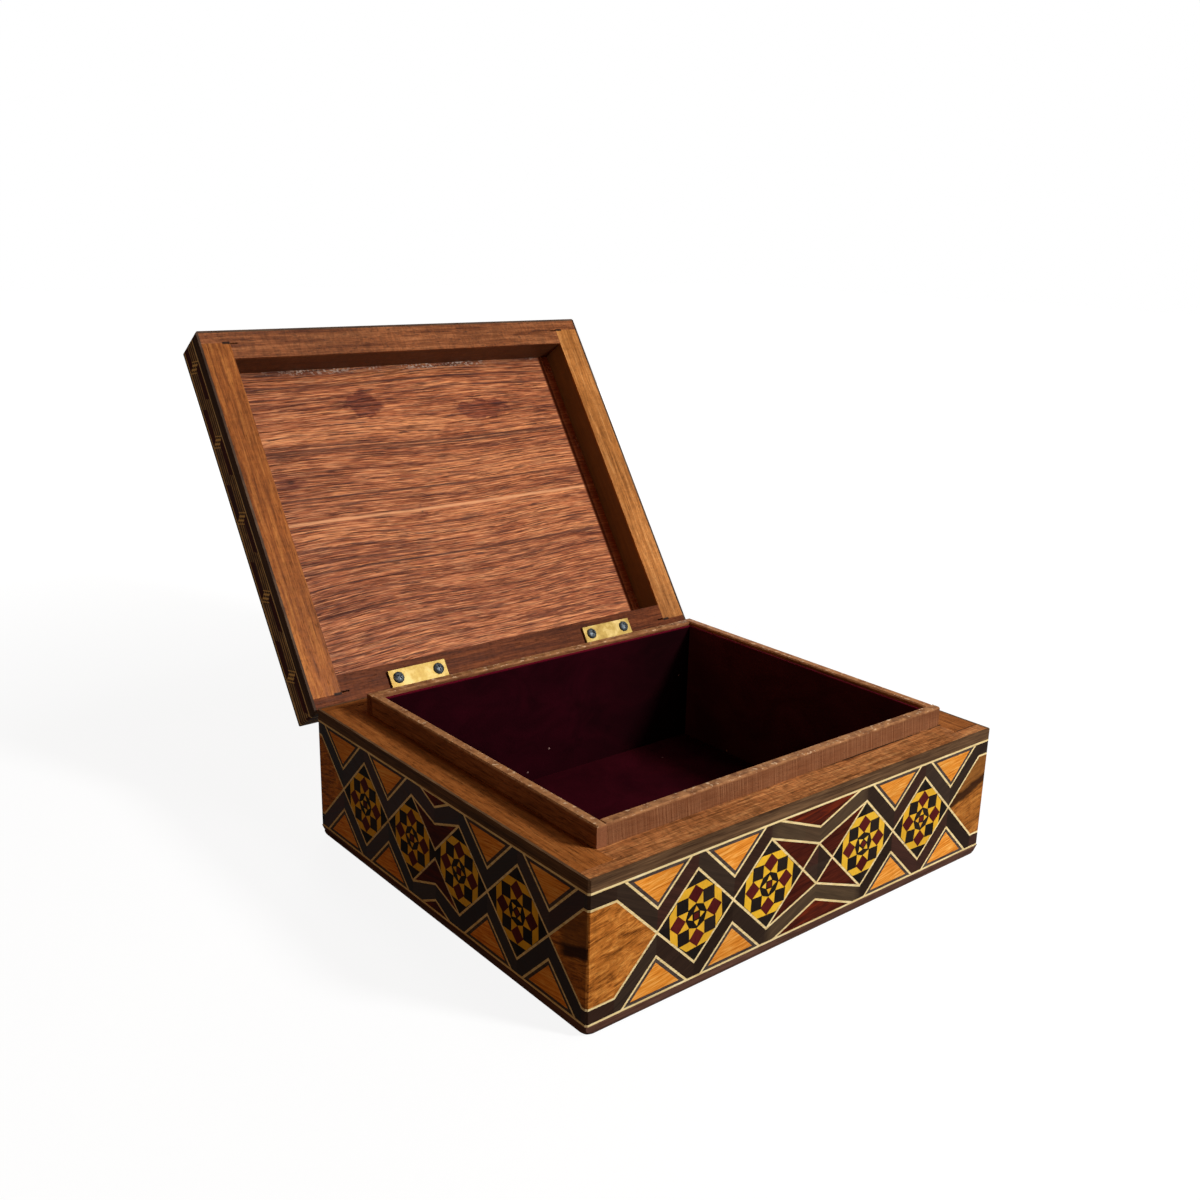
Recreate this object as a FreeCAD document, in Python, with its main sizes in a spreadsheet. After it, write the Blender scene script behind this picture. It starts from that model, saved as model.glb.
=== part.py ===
import FreeCAD, Part
import math
import os
import Sketcher

Vector = FreeCAD.Vector

# Driving dimensions: millimetres, but for the lid's opening, in degrees, and the shares
driving_sizes = {
    # Outer form
    "box_width": 200.0,
    "box_depth": 170.0,
    "rim_height": 53.5,
    "lid_height": 19.5,
    "seam_gap": 0.25,
    "lid_open_angle": 124.3,
    "corner_ease": 0.7,
    # Carcass of the base
    "ledge": 14.2,
    "lap_depth": 6.0,
    "kerf_width": 0.6,
    "kerf_length": 3.4,
    "board_thick": 4.0,
    "board_seat": 5.0,
    "lip_thick": 4.0,
    "lip_rise": 7.6,
    "lip_ease": 0.5,
    "velvet_thick": 1.0,
    "velvet_reveal": 1.5,
    "pad_thick": 1.8,
    # Frame of the lid
    "lid_rail": 13.5,
    "recess_depth": 13.8,
    # Marquetry skin
    "veneer": 1.0,
    "string_width": 0.8,
    "foot_height": 3.8,
    "foot_depth": 4.0,
    "foot_round": 1.3,
    "rim_edging": 4.2,
    "front_gap": 15.2,
    "front_peak_half": 20.8,
    "front_shift": 2.5,
    "side_overlap": 3.3,
    "side_peak_half": 9.2,
    "side_shift": 0.3,
    # Heights in the pattern, as shares of half the height between its edging lines
    "star_share": 0.7517,
    "band_share": 0.3797,
    "outline_share": 0.0492,
    "front_notch_share": 0.3445,
    "front_peak_share": 0.6264,
    "side_notch_share": 0.519,
    "side_peak_share": 0.8009,
    # Lid marquetry
    "lid_foot": 5.2,
    "crown_height": 2.6,
    "crown_depth": 3.0,
    "crown_round": 1.8,
    "block_pitch": 34.9,
    "block_length": 17.6,
    "block_height": 4.0,
    "block_slant": 2.0,
    "block_shift": 12.9,
    "top_border": 5.0,
    # Hinges
    "hinge_spacing": 102.0,
    "hinge_length": 27.2,
    "leaf_reach": 10.3,
    "leaf_thick": 1.2,
    "pin_drop": 1.75,
    "pin_radius": 0.75,
    "pin_clearance": 0.04,
    "knuckle_gap": 0.2,
    "mortise_gap": 0.25,
    "swing_gap": 0.3,
    "screw_spacing": 19.2,
    "screw_setback": 6.75,
    "screw_length": 8.0,
    "shank_radius": 1.0,
    "screw_clearance": 0.1,
    "round_head_radius": 2.5,
    "round_head_height": 1.3,
    # Cutting tools reach this far past the surface that they cut
    "overrun": 2.0,
}
knuckle_count = 3
shank_flats = 8

document = FreeCAD.newDocument("mosaic_box")
sheet = document.addObject("Spreadsheet::Sheet", "sizes")
for row, (name, value) in enumerate(driving_sizes.items(), start=1):
    sheet.set(f"A{row}", name)
    sheet.set(f"B{row}", str(value))
    sheet.setAlias(f"B{row}", name)
document.recompute()

sub_parts = []

# Expressions that several pieces share
half_width = "sizes.box_width / 2"
half_depth = "sizes.box_depth / 2"
pin_level = "(sizes.rim_height - sizes.pin_drop)"
barrel_radius = "(sizes.pin_drop + sizes.seam_gap)"
mortise_depth = f"(sizes.pin_drop + {barrel_radius})"
lid_floor = "(sizes.rim_height + sizes.seam_gap)"
lid_turn = "rotation(vector(1; 0; 0); -sizes.lid_open_angle)"
lid_pose = f"placement(vector(0; 0; 0); {lid_turn}; vector(0; {half_depth}; {pin_level}))"


def number(expression):
    return float(sheet.evalExpression(expression))


def size(name):
    return number(f"sizes.{name}")


def keep(piece, label, on_lid=False):
    piece.Label = label
    if on_lid:
        piece.setExpression("Placement", lid_pose)
    sub_parts.append(piece)
    return piece


# Sketched pieces: every corner of an outline is tied to the sheet
def new_body(label, on_lid=False):
    return keep(document.addObject("PartDesign::Body", f"{label}_body"), label, on_lid)


def tie(sketch, kind, geometry, expression):
    value = number(expression)
    index = sketch.addConstraint(Sketcher.Constraint(kind, -1, 1, geometry, 1, value))
    sketch.setExpression(f"Constraints[{index}]", expression)


def outline(body, role, offset, loops):
    plane = next(item for item in body.Origin.OriginFeatures if item.Role == role)
    sketch = body.newObject("Sketcher::SketchObject", f"{body.Name}_outline")
    sketch.AttachmentSupport = [(plane, "")]
    sketch.MapMode = "FlatFace"
    sketch.setExpression("AttachmentOffset.Base.z", offset)
    for loop in loops:
        corners = [Vector(number(across), number(up), 0) for across, up in loop]
        first = sketch.GeometryCount
        count = len(corners)
        for index in range(count):
            sketch.addGeometry(Part.LineSegment(corners[index], corners[(index + 1) % count]))
        for index in range(count):
            following = first + (index + 1) % count
            sketch.addConstraint(Sketcher.Constraint("Coincident", first + index, 2, following, 1))
        for index, (across, up) in enumerate(loop):
            tie(sketch, "DistanceX", first + index, across)
            tie(sketch, "DistanceY", first + index, up)
    return sketch


def pad(body, sketch, length):
    feature = body.newObject("PartDesign::Pad", f"{body.Name}_pad")
    feature.Profile = sketch
    feature.setExpression("Length", length)
    document.recompute()
    return feature


def pocket(body, sketch, depth, upward=False):
    before = body.Shape.Volume
    feature = body.newObject("PartDesign::Pocket", f"{body.Name}_pocket")
    feature.Profile = sketch
    feature.Reversed = upward
    feature.setExpression("Length", depth)
    document.recompute()
    if body.Shape.Volume >= before:
        raise RuntimeError(f"{feature.Name} cuts nothing")
    return feature


def rectangle(left, right, low, high):
    return [(left, low), (right, low), (right, high), (left, high)]


# Walls of the base
def wall_section(half_span, sign):
    outer = f"{sign} * ({half_span} - sizes.veneer)"
    foot = f"{sign} * ({half_span} - sizes.foot_depth)"
    seat = f"{sign} * ({half_span} - sizes.ledge + sizes.board_seat)"
    inner = f"{sign} * ({half_span} - sizes.ledge)"
    return [
        (outer, "sizes.foot_height"),
        (foot, "sizes.foot_height"),
        (foot, "0"),
        (seat, "0"),
        (seat, "sizes.board_thick"),
        (inner, "sizes.board_thick"),
        (inner, "sizes.rim_height"),
        (outer, "sizes.rim_height"),
    ]


def end_rabbet(end, sign):
    shoulder = f"{end} * ({half_width} - sizes.ledge)"
    kerf_end = f"{end} * ({half_width} - sizes.ledge - sizes.kerf_length)"
    beyond = f"{end} * ({half_width} + sizes.overrun)"
    lap = f"{sign} * ({half_depth} - sizes.lap_depth)"
    kerf_side = f"{sign} * ({half_depth} - sizes.lap_depth - sizes.kerf_width)"
    inside = f"{sign} * ({half_depth} - sizes.ledge - sizes.overrun)"
    return [
        (shoulder, inside),
        (shoulder, kerf_side),
        (kerf_end, kerf_side),
        (kerf_end, lap),
        (beyond, lap),
        (beyond, inside),
    ]


def foot_rabbet(end, sign):
    shoulder = f"{end} * ({half_width} - sizes.foot_depth)"
    beyond = f"{end} * ({half_width} + sizes.overrun)"
    inside = f"{sign} * ({half_depth} - sizes.ledge - sizes.overrun)"
    outside = f"{sign} * ({half_depth} + sizes.overrun)"
    return rectangle(shoulder, beyond, inside, outside)


def long_wall(label, sign):
    wall = new_body(label)
    start = f"sizes.veneer - {half_width}"
    section = outline(wall, "YZ_Plane", start, [wall_section(half_depth, sign)])
    pad(wall, section, "sizes.box_width - 2 * sizes.veneer")
    ends = [end_rabbet(end, sign) for end in (-1, 1)]
    pocket(wall, outline(wall, "XY_Plane", "sizes.rim_height", ends), "sizes.rim_height")
    feet = [foot_rabbet(end, sign) for end in (-1, 1)]
    pocket(wall, outline(wall, "XY_Plane", "0", feet), "sizes.foot_height", upward=True)
    return wall


def short_wall(label, sign):
    wall = new_body(label)
    start = f"sizes.lap_depth - {half_depth}"
    section = outline(wall, "XZ_Plane", start, [wall_section(half_width, sign)])
    pad(wall, section, "sizes.box_depth - 2 * sizes.lap_depth")
    return wall


hinge_sides = {"left": -1, "right": 1}


def hinge_centre(sign):
    return f"{sign} * sizes.hinge_spacing / 2"


def hinge_seat(sign, reach):
    half_seat = "(sizes.hinge_length / 2 + sizes.mortise_gap)"
    left = f"{hinge_centre(sign)} - {half_seat}"
    right = f"{hinge_centre(sign)} + {half_seat}"
    return rectangle(left, right, f"{half_depth} - {reach}", f"{half_depth} + sizes.overrun")


# The hidden shanks of the screws have a few flats in place of a thread, and so have their holes
screw_line = f"({half_depth} - sizes.screw_setback)"
shank_reach = "(sizes.screw_length - sizes.leaf_thick)"
hole_radius = "(sizes.shank_radius + sizes.screw_clearance)"


def screw_place(sign, end):
    return f"({hinge_centre(sign)} + {end} * sizes.screw_spacing / 2)"


def pilot_hole(sign, end):
    turns = [360 * index / shank_flats for index in range(shank_flats)]
    across = [f"{screw_place(sign, end)} + {hole_radius} * cos({turn})" for turn in turns]
    back = [f"{screw_line} + {hole_radius} * sin({turn})" for turn in turns]
    return list(zip(across, back))


leaf_seat = "(sizes.leaf_reach + sizes.mortise_gap)"
barrel_seat = f"({barrel_radius} + sizes.swing_gap)"
leaf_seats = [hinge_seat(sign, leaf_seat) for sign in hinge_sides.values()]
barrel_seats = [hinge_seat(sign, barrel_seat) for sign in hinge_sides.values()]
pilot_holes = [pilot_hole(sign, end) for sign in hinge_sides.values() for end in (-1, 1)]

front_wall = long_wall("front_wall", -1)
back_wall = long_wall("back_wall", 1)
left_wall = short_wall("left_wall", -1)
right_wall = short_wall("right_wall", 1)
pocket(back_wall, outline(back_wall, "XY_Plane", "sizes.rim_height", leaf_seats), mortise_depth)
barrel_notches = outline(back_wall, "XY_Plane", "sizes.rim_height", barrel_seats)
pocket(back_wall, barrel_notches, f"{mortise_depth} + sizes.swing_gap")
wall_pilots = outline(back_wall, "XY_Plane", "sizes.rim_height", pilot_holes)
pocket(back_wall, wall_pilots, f"{mortise_depth} + sizes.screw_length")

bottom_board = new_body("bottom_board")
board_x = f"({half_width} - sizes.ledge + sizes.board_seat)"
board_y = f"({half_depth} - sizes.ledge + sizes.board_seat)"
board_outline = rectangle(f"-{board_x}", board_x, f"-{board_y}", board_y)
pad(bottom_board, outline(bottom_board, "XY_Plane", "0", [board_outline]), "sizes.board_thick")

# Lip boards: each butts on the next one, so the corners run round like a pinwheel
lip_top = "sizes.rim_height + sizes.lip_rise"
lip_x = f"({half_width} - sizes.ledge)"
lip_y = f"({half_depth} - sizes.ledge)"


def lip_section(face, sign):
    outer = f"{sign} * {face}"
    outer_ease = f"{sign} * ({face} - sizes.lip_ease)"
    inner_ease = f"{sign} * ({face} - sizes.lip_thick + sizes.lip_ease)"
    inner = f"{sign} * ({face} - sizes.lip_thick)"
    return [
        (outer, "sizes.board_thick"),
        (inner, "sizes.board_thick"),
        (inner, f"{lip_top} - sizes.lip_ease"),
        (inner_ease, lip_top),
        (outer_ease, lip_top),
        (outer, f"{lip_top} - sizes.lip_ease"),
    ]


def lip(label, role, start, face, sign, span):
    board = new_body(label)
    section = outline(board, role, start, [lip_section(face, sign)])
    pad(board, section, f"2 * {span} - sizes.lip_thick")


lip("front_lip", "YZ_Plane", f"sizes.lip_thick - {lip_x}", lip_y, -1, lip_x)
lip("back_lip", "YZ_Plane", f"-{lip_x}", lip_y, 1, lip_x)
lip("left_lip", "XZ_Plane", f"sizes.lip_thick - {lip_y}", lip_x, -1, lip_y)
lip("right_lip", "XZ_Plane", f"-{lip_y}", lip_x, 1, lip_y)


# Velvet-covered card linings
def lining(label, low_x, low_y, length, width, height):
    card = keep(document.addObject("Part::Box", f"{label}_card"), label)
    card.setExpression("Length", length)
    card.setExpression("Width", width)
    card.setExpression("Height", height)
    card.setExpression("Placement.Base.x", low_x)
    card.setExpression("Placement.Base.y", low_y)
    card.setExpression("Placement.Base.z", "sizes.board_thick")


room_x = f"({lip_x} - sizes.lip_thick)"
room_y = f"({lip_y} - sizes.lip_thick)"
lining_height = f"{lip_top} - sizes.velvet_reveal - sizes.board_thick"
clear_x = f"({room_x} - sizes.velvet_thick)"
clear_y = f"({room_y} - sizes.velvet_thick)"
long_lining = [f"2 * {room_x}", "sizes.velvet_thick", lining_height]
short_lining = ["sizes.velvet_thick", f"2 * {clear_y}", lining_height]
lining("front_velvet", f"-{room_x}", f"-{room_y}", *long_lining)
lining("back_velvet", f"-{room_x}", clear_y, *long_lining)
lining("left_velvet", f"-{room_x}", f"-{clear_y}", *short_lining)
lining("right_velvet", clear_x, f"-{clear_y}", *short_lining)
floor_lining = [f"2 * {clear_x}", f"2 * {clear_y}", "sizes.pad_thick"]
lining("floor_velvet", f"-{clear_x}", f"-{clear_y}", *floor_lining)


# Frame of the lid, drawn shut and then swung open about the pins
def long_rail(label, sign):
    rail = new_body(label, on_lid=True)
    outer = f"{sign} * ({half_depth} - sizes.veneer)"
    lap = f"{sign} * ({half_depth} - sizes.lap_depth)"
    kerf_side = f"{sign} * ({half_depth} - sizes.lap_depth - sizes.kerf_width)"
    inner = f"{sign} * ({half_depth} - sizes.lid_rail)"
    half_loop = [
        (f"({half_width} - sizes.veneer)", outer),
        (f"({half_width} - sizes.veneer)", lap),
        (f"({half_width} - sizes.lid_rail - sizes.kerf_length)", lap),
        (f"({half_width} - sizes.lid_rail - sizes.kerf_length)", kerf_side),
        (f"({half_width} - sizes.lid_rail)", kerf_side),
        (f"({half_width} - sizes.lid_rail)", inner),
    ]
    loop = half_loop + [(f"-{across}", up) for across, up in reversed(half_loop)]
    pad(rail, outline(rail, "XY_Plane", lid_floor, [loop]), "sizes.recess_depth")
    return rail


def short_rail(label, sign):
    rail = new_body(label, on_lid=True)
    outer = f"{sign} * ({half_width} - sizes.veneer)"
    inner = f"{sign} * ({half_width} - sizes.lid_rail)"
    reach = f"({half_depth} - sizes.lap_depth)"
    loop = rectangle(outer, inner, f"-{reach}", reach)
    pad(rail, outline(rail, "XY_Plane", lid_floor, [loop]), "sizes.recess_depth")


long_rail("lid_front_rail", -1)
lid_back_rail = long_rail("lid_back_rail", 1)
short_rail("lid_left_rail", -1)
short_rail("lid_right_rail", 1)
barrel_reliefs = outline(lid_back_rail, "XY_Plane", lid_floor, barrel_seats)
pocket(lid_back_rail, barrel_reliefs, "sizes.swing_gap", upward=True)
rail_pilots = outline(lid_back_rail, "XY_Plane", lid_floor, pilot_holes)
pocket(lid_back_rail, rail_pilots, "sizes.screw_length", upward=True)

lid_panel = new_body("lid_panel", on_lid=True)
crown_level = f"({lid_floor} + sizes.lid_height - sizes.crown_height)"


def panel_step(inset, low, high):
    reach_x = f"({half_width} - {inset})"
    reach_y = f"({half_depth} - {inset})"
    loop = rectangle(f"-{reach_x}", reach_x, f"-{reach_y}", reach_y)
    pad(lid_panel, outline(lid_panel, "XY_Plane", low, [loop]), f"{high} - {low}")


panel_step("sizes.veneer", f"({lid_floor} + sizes.recess_depth)", crown_level)
panel_step("sizes.crown_depth", crown_level, f"({lid_floor} + sizes.lid_height - sizes.veneer)")


# Butt hinges: a plate, its rolled knuckles, and a pin through both leaves
def primitive(kind, name, properties, x, y, z):
    item = document.addObject(kind, name)
    for key, expression in properties.items():
        item.setExpression(key, expression)
    item.setExpression("Placement.Base.x", x)
    item.setExpression("Placement.Base.y", y)
    item.setExpression("Placement.Base.z", z)
    return item


def rod(name, radius, length, x):
    sides = {"Radius": radius, "Height": length}
    item = primitive("Part::Cylinder", name, sides, x, half_depth, pin_level)
    item.Placement.Rotation = FreeCAD.Rotation(Vector(0, 1, 0), 90)
    return item


def fused(name, items):
    union = document.addObject("Part::MultiFuse", name)
    union.Shapes = items
    union.Refine = True
    return union


def slab(name, length, width, x, y, z):
    sides = {"Length": length, "Width": width, "Height": "sizes.leaf_thick"}
    return primitive("Part::Box", name, sides, x, y, z)


def shank(name, radius, height, across, low):
    sides = {"Circumradius": radius, "Height": height}
    item = primitive("Part::Prism", name, sides, across, screw_line, low)
    item.Polygon = shank_flats
    return item


# The base leaf's screws lie flush in it and are one piece with it
def hinge_leaf(label, sign, level):
    start = f"{hinge_centre(sign)} - sizes.hinge_length / 2"
    low = f"{pin_level} - {barrel_radius}"
    if level > 0:
        low = f"{lid_floor} - sizes.leaf_thick"
    plate_width = f"sizes.leaf_reach - {barrel_seat}"
    plate_y = f"{half_depth} - sizes.leaf_reach"
    solids = [slab(f"{label}_plate", "sizes.hinge_length", plate_width, start, plate_y, low)]
    knuckle_length = f"sizes.hinge_length / {knuckle_count} - sizes.knuckle_gap"
    for index in range(knuckle_count):
        if (index % 2 == 0) == (level > 0):
            continue
        place = f"{index} * sizes.hinge_length / {knuckle_count} + sizes.knuckle_gap / 2"
        step = f"{start} + {place}"
        neck_y = f"{half_depth} - {barrel_seat}"
        solids.append(slab(f"{label}_neck_{index}", knuckle_length, barrel_seat, step, neck_y, low))
        solids.append(rod(f"{label}_knuckle_{index}", barrel_radius, knuckle_length, step))
    bore_radius = "sizes.pin_radius + sizes.pin_clearance"
    cutters = [rod(f"{label}_bore", bore_radius, "sizes.hinge_length", start)]
    for end in (-1, 1):
        place = screw_place(sign, end)
        name = f"{label}_screw_{end + 1}"
        if level > 0:
            cutters.append(shank(name, hole_radius, "sizes.leaf_thick", place, low))
        else:
            tip = f"{low} - {shank_reach}"
            solids.append(shank(name, "sizes.shank_radius", shank_reach, place, tip))
    leaf = document.addObject("Part::Cut", f"{label}_leaf")
    leaf.Base = fused(f"{label}_solid", solids)
    leaf.Tool = fused(f"{label}_cutters", cutters) if level > 0 else cutters[0]
    keep(leaf, label, on_lid=level > 0)


for side, sign in hinge_sides.items():
    hinge_leaf(f"{side}_hinge_base_leaf", sign, -1)
    hinge_leaf(f"{side}_hinge_lid_leaf", sign, 1)
    pin_start = f"{hinge_centre(sign)} - sizes.hinge_length / 2"
    pin_name = f"{side}_hinge_pin"
    keep(rod(f"{pin_name}_rod", "sizes.pin_radius", "sizes.hinge_length", pin_start), pin_name)


# Pieces made as groups of small solids take their sizes from the sheet in code
def group(label, solids, on_lid=False):
    feature = document.addObject("Part::Feature", f"{label}_group")
    feature.Shape = Part.makeCompound(solids)
    keep(feature, label, on_lid)


width = size("box_width")
depth = size("box_depth")
rim = size("rim_height")
veneer = size("veneer")
string = size("string_width")
overrun = size("overrun")
lid_low = number(lid_floor)
lid_height = size("lid_height")


def turned(outline_edges):
    return Part.Face(Part.Wire(outline_edges)).revolve(Vector(), Vector(0, 0, 1), 360)


def line(start, end):
    return Part.LineSegment(Vector(start[0], 0, start[1]), Vector(end[0], 0, end[1])).toShape()


def round_screw():
    head = size("round_head_radius")
    height = size("round_head_height")
    shank = size("shank_radius")
    length = number(shank_reach)
    flats = [math.tau * index / shank_flats for index in range(shank_flats)]
    corners = [Vector(shank * math.cos(turn), shank * math.sin(turn), 0) for turn in flats]
    stem = Part.Face(Part.makePolygon(corners + corners[:1])).extrude(Vector(0, 0, -length))
    sphere = (head * head + height * height) / (2 * height)
    bow = math.asin(head / sphere) / 2
    middle = Vector(sphere * math.sin(bow), 0, height - sphere + sphere * math.cos(bow))
    dome = Part.Arc(Vector(0, 0, height), middle, Vector(head, 0, 0)).toShape()
    rim_and_axis = [line((head, 0), (0, 0)), line((0, 0), (0, height))]
    return turned([dome] + rim_and_axis).fuse(stem).removeSplitter()


lid_screws = []
for sign in hinge_sides.values():
    for end in (-1, 1):
        spot = Vector(number(screw_place(sign, end)), number(screw_line), lid_low - size("leaf_thick"))
        screw = round_screw()
        screw.Placement = FreeCAD.Placement(spot, FreeCAD.Rotation(Vector(1, 0, 0), 180))
        lid_screws.extend(screw.Solids)
group("lid_hinge_screws", lid_screws, on_lid=True)

# The four sides, in turn about the vertical: each is drawn flat, outer face at zero, then stood up
sides = ("front", "right", "back", "left")


def side_length(side):
    return width if side in ("front", "back") else depth


def side_reach(side):
    return depth / 2 if side in ("front", "back") else width / 2


def stand(shape, side, level):
    lift = FreeCAD.Rotation(Vector(1, 0, 0), 90)
    upright = FreeCAD.Placement(Vector(0, -side_reach(side), level), lift)
    turn = FreeCAD.Placement(Vector(), FreeCAD.Rotation(Vector(0, 0, 1), 90 * sides.index(side)))
    copy = shape.copy()
    copy.Placement = turn.multiply(upright)
    return copy


# Long sides cover the ends of the short ones
def sheet_half(side):
    return width / 2 if side in ("front", "back") else depth / 2 - veneer


def eased_block(low, height):
    block = Part.makeBox(width, depth, height, Vector(-width / 2, -depth / 2, low))
    upright = [edge for edge in block.Edges if edge.tangentAt(edge.FirstParameter).z ** 2 > 0.5]
    return block.makeChamfer(size("corner_ease"), upright)


def trimmed(solids, block):
    kept = []
    for solid in solids:
        bounds = solid.BoundBox
        if max(bounds.XMax, -bounds.XMin) > width / 2 - size("corner_ease"):
            kept.extend(solid.common(block).Solids)
        else:
            kept.append(solid)
    return kept


def polygon(points):
    corners = [Vector(across, up, 0) for across, up in points]
    return Part.Face(Part.makePolygon(corners + corners[:1]))


def oblong(left, right, low, high):
    return polygon([(left, low), (right, low), (right, high), (left, high)])


def inlay(face):
    sunk = face.copy()
    sunk.translate(Vector(0, 0, -veneer))
    return sunk.extrude(Vector(0, 0, veneer))


# Tiles: the regions in a net of lines, each drawn in by half the width of a cream line
def tiles_between(field, net):
    edges = []
    for path in net:
        corners = [Vector(across, up, 0) for across, up in path]
        edges.extend(Part.makePolygon(corners).Edges)
    regions = field.generalFuse(edges)[0].Faces
    return [region.makeOffset2D(-string / 2, 2) for region in regions]


def holding(faces, points):
    found = []
    for across, up in points:
        for face in without(faces, found):
            if face.isInside(Vector(across, up, 0), Part.Precision.confusion(), True):
                found.append(face)
    return found


def without(faces, taken):
    return [face for face in faces if not any(face.isSame(other) for other in taken)]


def sliced(faces, cuts, levels):
    pieces = []
    for face in faces:
        for left, right in zip(cuts, cuts[1:]):
            for low, high in zip(levels, levels[1:]):
                pieces.extend(face.common(oblong(left, right, low, high)).Faces)
    return pieces


foot_line = size("foot_height") + string / 2
rim_line = rim - size("rim_edging") - string / 2
field_mid = (foot_line + rim_line) / 2
line_half = (rim_line - foot_line) / 2
field_half = line_half - string / 2
star = size("star_share") * line_half
band_rise = size("band_share") * line_half
outline_width = size("outline_share") * line_half


# One face of the box, measured from the middle of its pattern: star tiles between zigzag bands
def face_pattern(left, right, gap, notch, peak, peak_half):
    inner_star = gap / 2 + star
    joint = inner_star + star
    outer_star = joint + star
    end = outer_star + star
    beyond = width + depth
    spread = line_half - band_rise
    net = []
    for side in (-1, 1):
        for level in (-1, 1):
            heart = (side * gap / 2, 0) if gap > 0 else (0, -level * gap / 2)
            crest = (side * inner_star, level * star)
            zigzag = [heart, crest, (side * joint, 0), (side * outer_star, level * star)]
            panel = [(side * end, 0), (side * (end + star), level * star), (side * beyond, level * star)]
            net.append(zigzag + panel)
            for apex in (joint, end):
                tips = [(side * apex + way * spread, level * line_half) for way in (-1, 1)]
                net.append([tips[0], (side * apex, level * band_rise), tips[1]])
            net.append([crest, (0, level * notch)])
            net.append([(side * peak_half, level * line_half), (0, level * peak)])
            if gap > 0:
                net.append([heart, (0, level * notch)])
    field = oblong(left - string / 2, right + string / 2, -line_half, line_half)
    tiles = tiles_between(field, net)
    both = [(side, level) for side in (-1, 1) for level in (-1, 1)]
    hearts = [(side * place, 0) for side in (-1, 1) for place in (inner_star, outer_star)]
    star_faces = holding(tiles, hearts)
    high = (2 * line_half + band_rise) / 3
    apexes = [(side * place, level * high) for side, level in both for place in (joint, end)]
    triangles = holding(tiles, apexes)
    panels = holding(tiles, [(side * (end + star / 2), 0) for side in (-1, 1)])
    reds = holding(tiles, [(0, level * (2 * line_half + peak) / 3) for level in (-1, 1)])
    middle = []
    if gap > 0:
        across = (gap / 2 + inner_star) / 3
        up = (star + notch) / 3
        reds += holding(tiles, [(side * across, level * up) for side, level in both])
        middle = holding(tiles, [(0, 0)])
    else:
        reds += holding(tiles, [(0, level * (notch - gap / 2) / 2) for level in (-1, 1)])
    strips_left = without(tiles, star_faces + triangles + panels + reds + middle)
    mitres = [0, inner_star, joint, outer_star, end, end + star]
    cuts = [left] + [-place for place in mitres[:0:-1]] + mitres + [right]
    levels = (-field_half, field_half)
    bands = sliced(strips_left, cuts, levels) + middle
    stars = sliced(star_faces, (left, 0, right), levels)
    fills = [triangle.makeOffset2D(-outline_width, 2) for triangle in triangles]
    edgings = [triangle.cut(fill) for triangle, fill in zip(triangles, fills)]
    frame = oblong(left, right, -field_half - string, field_half + string)
    return {
        "bands": bands,
        "stringing": frame.cut(tiles).Faces,
        "orange_triangles": fills,
        "triangle_edgings": edgings,
        "red_pieces": reds,
        "end_panels": panels,
        "star_tiles": stars,
    }


# On the long sides the inner stars stand apart, and on the short ones they overlap
def motif(side, gap):
    notch = size(f"{side}_notch_share") * line_half
    peak = size(f"{side}_peak_share") * line_half
    return [gap, notch, peak, size(f"{side}_peak_half")]


front_motif = motif("front", size("front_gap"))
side_motif = motif("side", -size("side_overlap"))
base_block = eased_block(0, rim)
shared_kinds = ("orange_triangles", "triangle_edgings", "red_pieces", "end_panels", "star_tiles")
shared_groups = {kind: [] for kind in shared_kinds}
for side in sides:
    long_side = side in ("front", "back")
    chosen = front_motif if long_side else side_motif
    shift = size("front_shift") if long_side else size("side_shift")
    half = sheet_half(side)
    for kind, faces in face_pattern(-half - shift, half - shift, *chosen).items():
        solids = []
        for face in faces:
            solid = inlay(face)
            solid.translate(Vector(shift, 0, 0))
            solids.extend(stand(Part.makeCompound([solid]), side, field_mid).Solids)
        if long_side:
            solids = trimmed(solids, base_block)
        if kind in shared_groups:
            shared_groups[kind] += solids
        else:
            group(f"{side}_{kind}", solids)
for kind, solids in shared_groups.items():
    group(kind, solids)


# Straight edgings: plain strips of the skin, and mitred mouldings with one rounded corner
def plain_edging(side, low, high, level):
    half = sheet_half(side)
    return stand(inlay(oblong(-half, half, low, high)), side, level)


def moulding(side, height, thick, radius, level, rounded_low):
    length = side_length(side)
    bend = radius * math.sqrt(0.5)
    points = [(thick, 0), (radius, 0), (0, radius), (0, height), (thick, height)]
    middle = (radius - bend, radius - bend)
    if not rounded_low:
        points = [(across, height - up) for across, up in points]
        middle = (middle[0], height - middle[1])
    corners = [Vector(-length / 2, up, -across) for across, up in points]
    arc = Part.Arc(corners[1], Vector(-length / 2, middle[1], -middle[0]), corners[2]).toShape()
    path = Part.makePolygon(corners[2:] + corners[:2])
    section = Part.Face(Part.Wire(Part.sortEdges(path.Edges + [arc])[0]))
    strip = section.extrude(Vector(length, 0, 0))
    inner = length / 2 - thick
    plan = [(-length / 2, 0), (length / 2, 0), (inner, -thick), (-inner, -thick)]
    corners = [Vector(across, 0, out) for across, out in plan]
    mitre = Part.Face(Part.makePolygon(corners + corners[:1])).extrude(Vector(0, height, 0))
    return stand(strip.common(mitre).Solids[0], side, level)


foot_sizes = [size("foot_height"), size("foot_depth"), size("foot_round")]
foot_strips = [moulding(side, *foot_sizes, 0, True) for side in sides]
group("foot_edging", trimmed(foot_strips, base_block))

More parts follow.
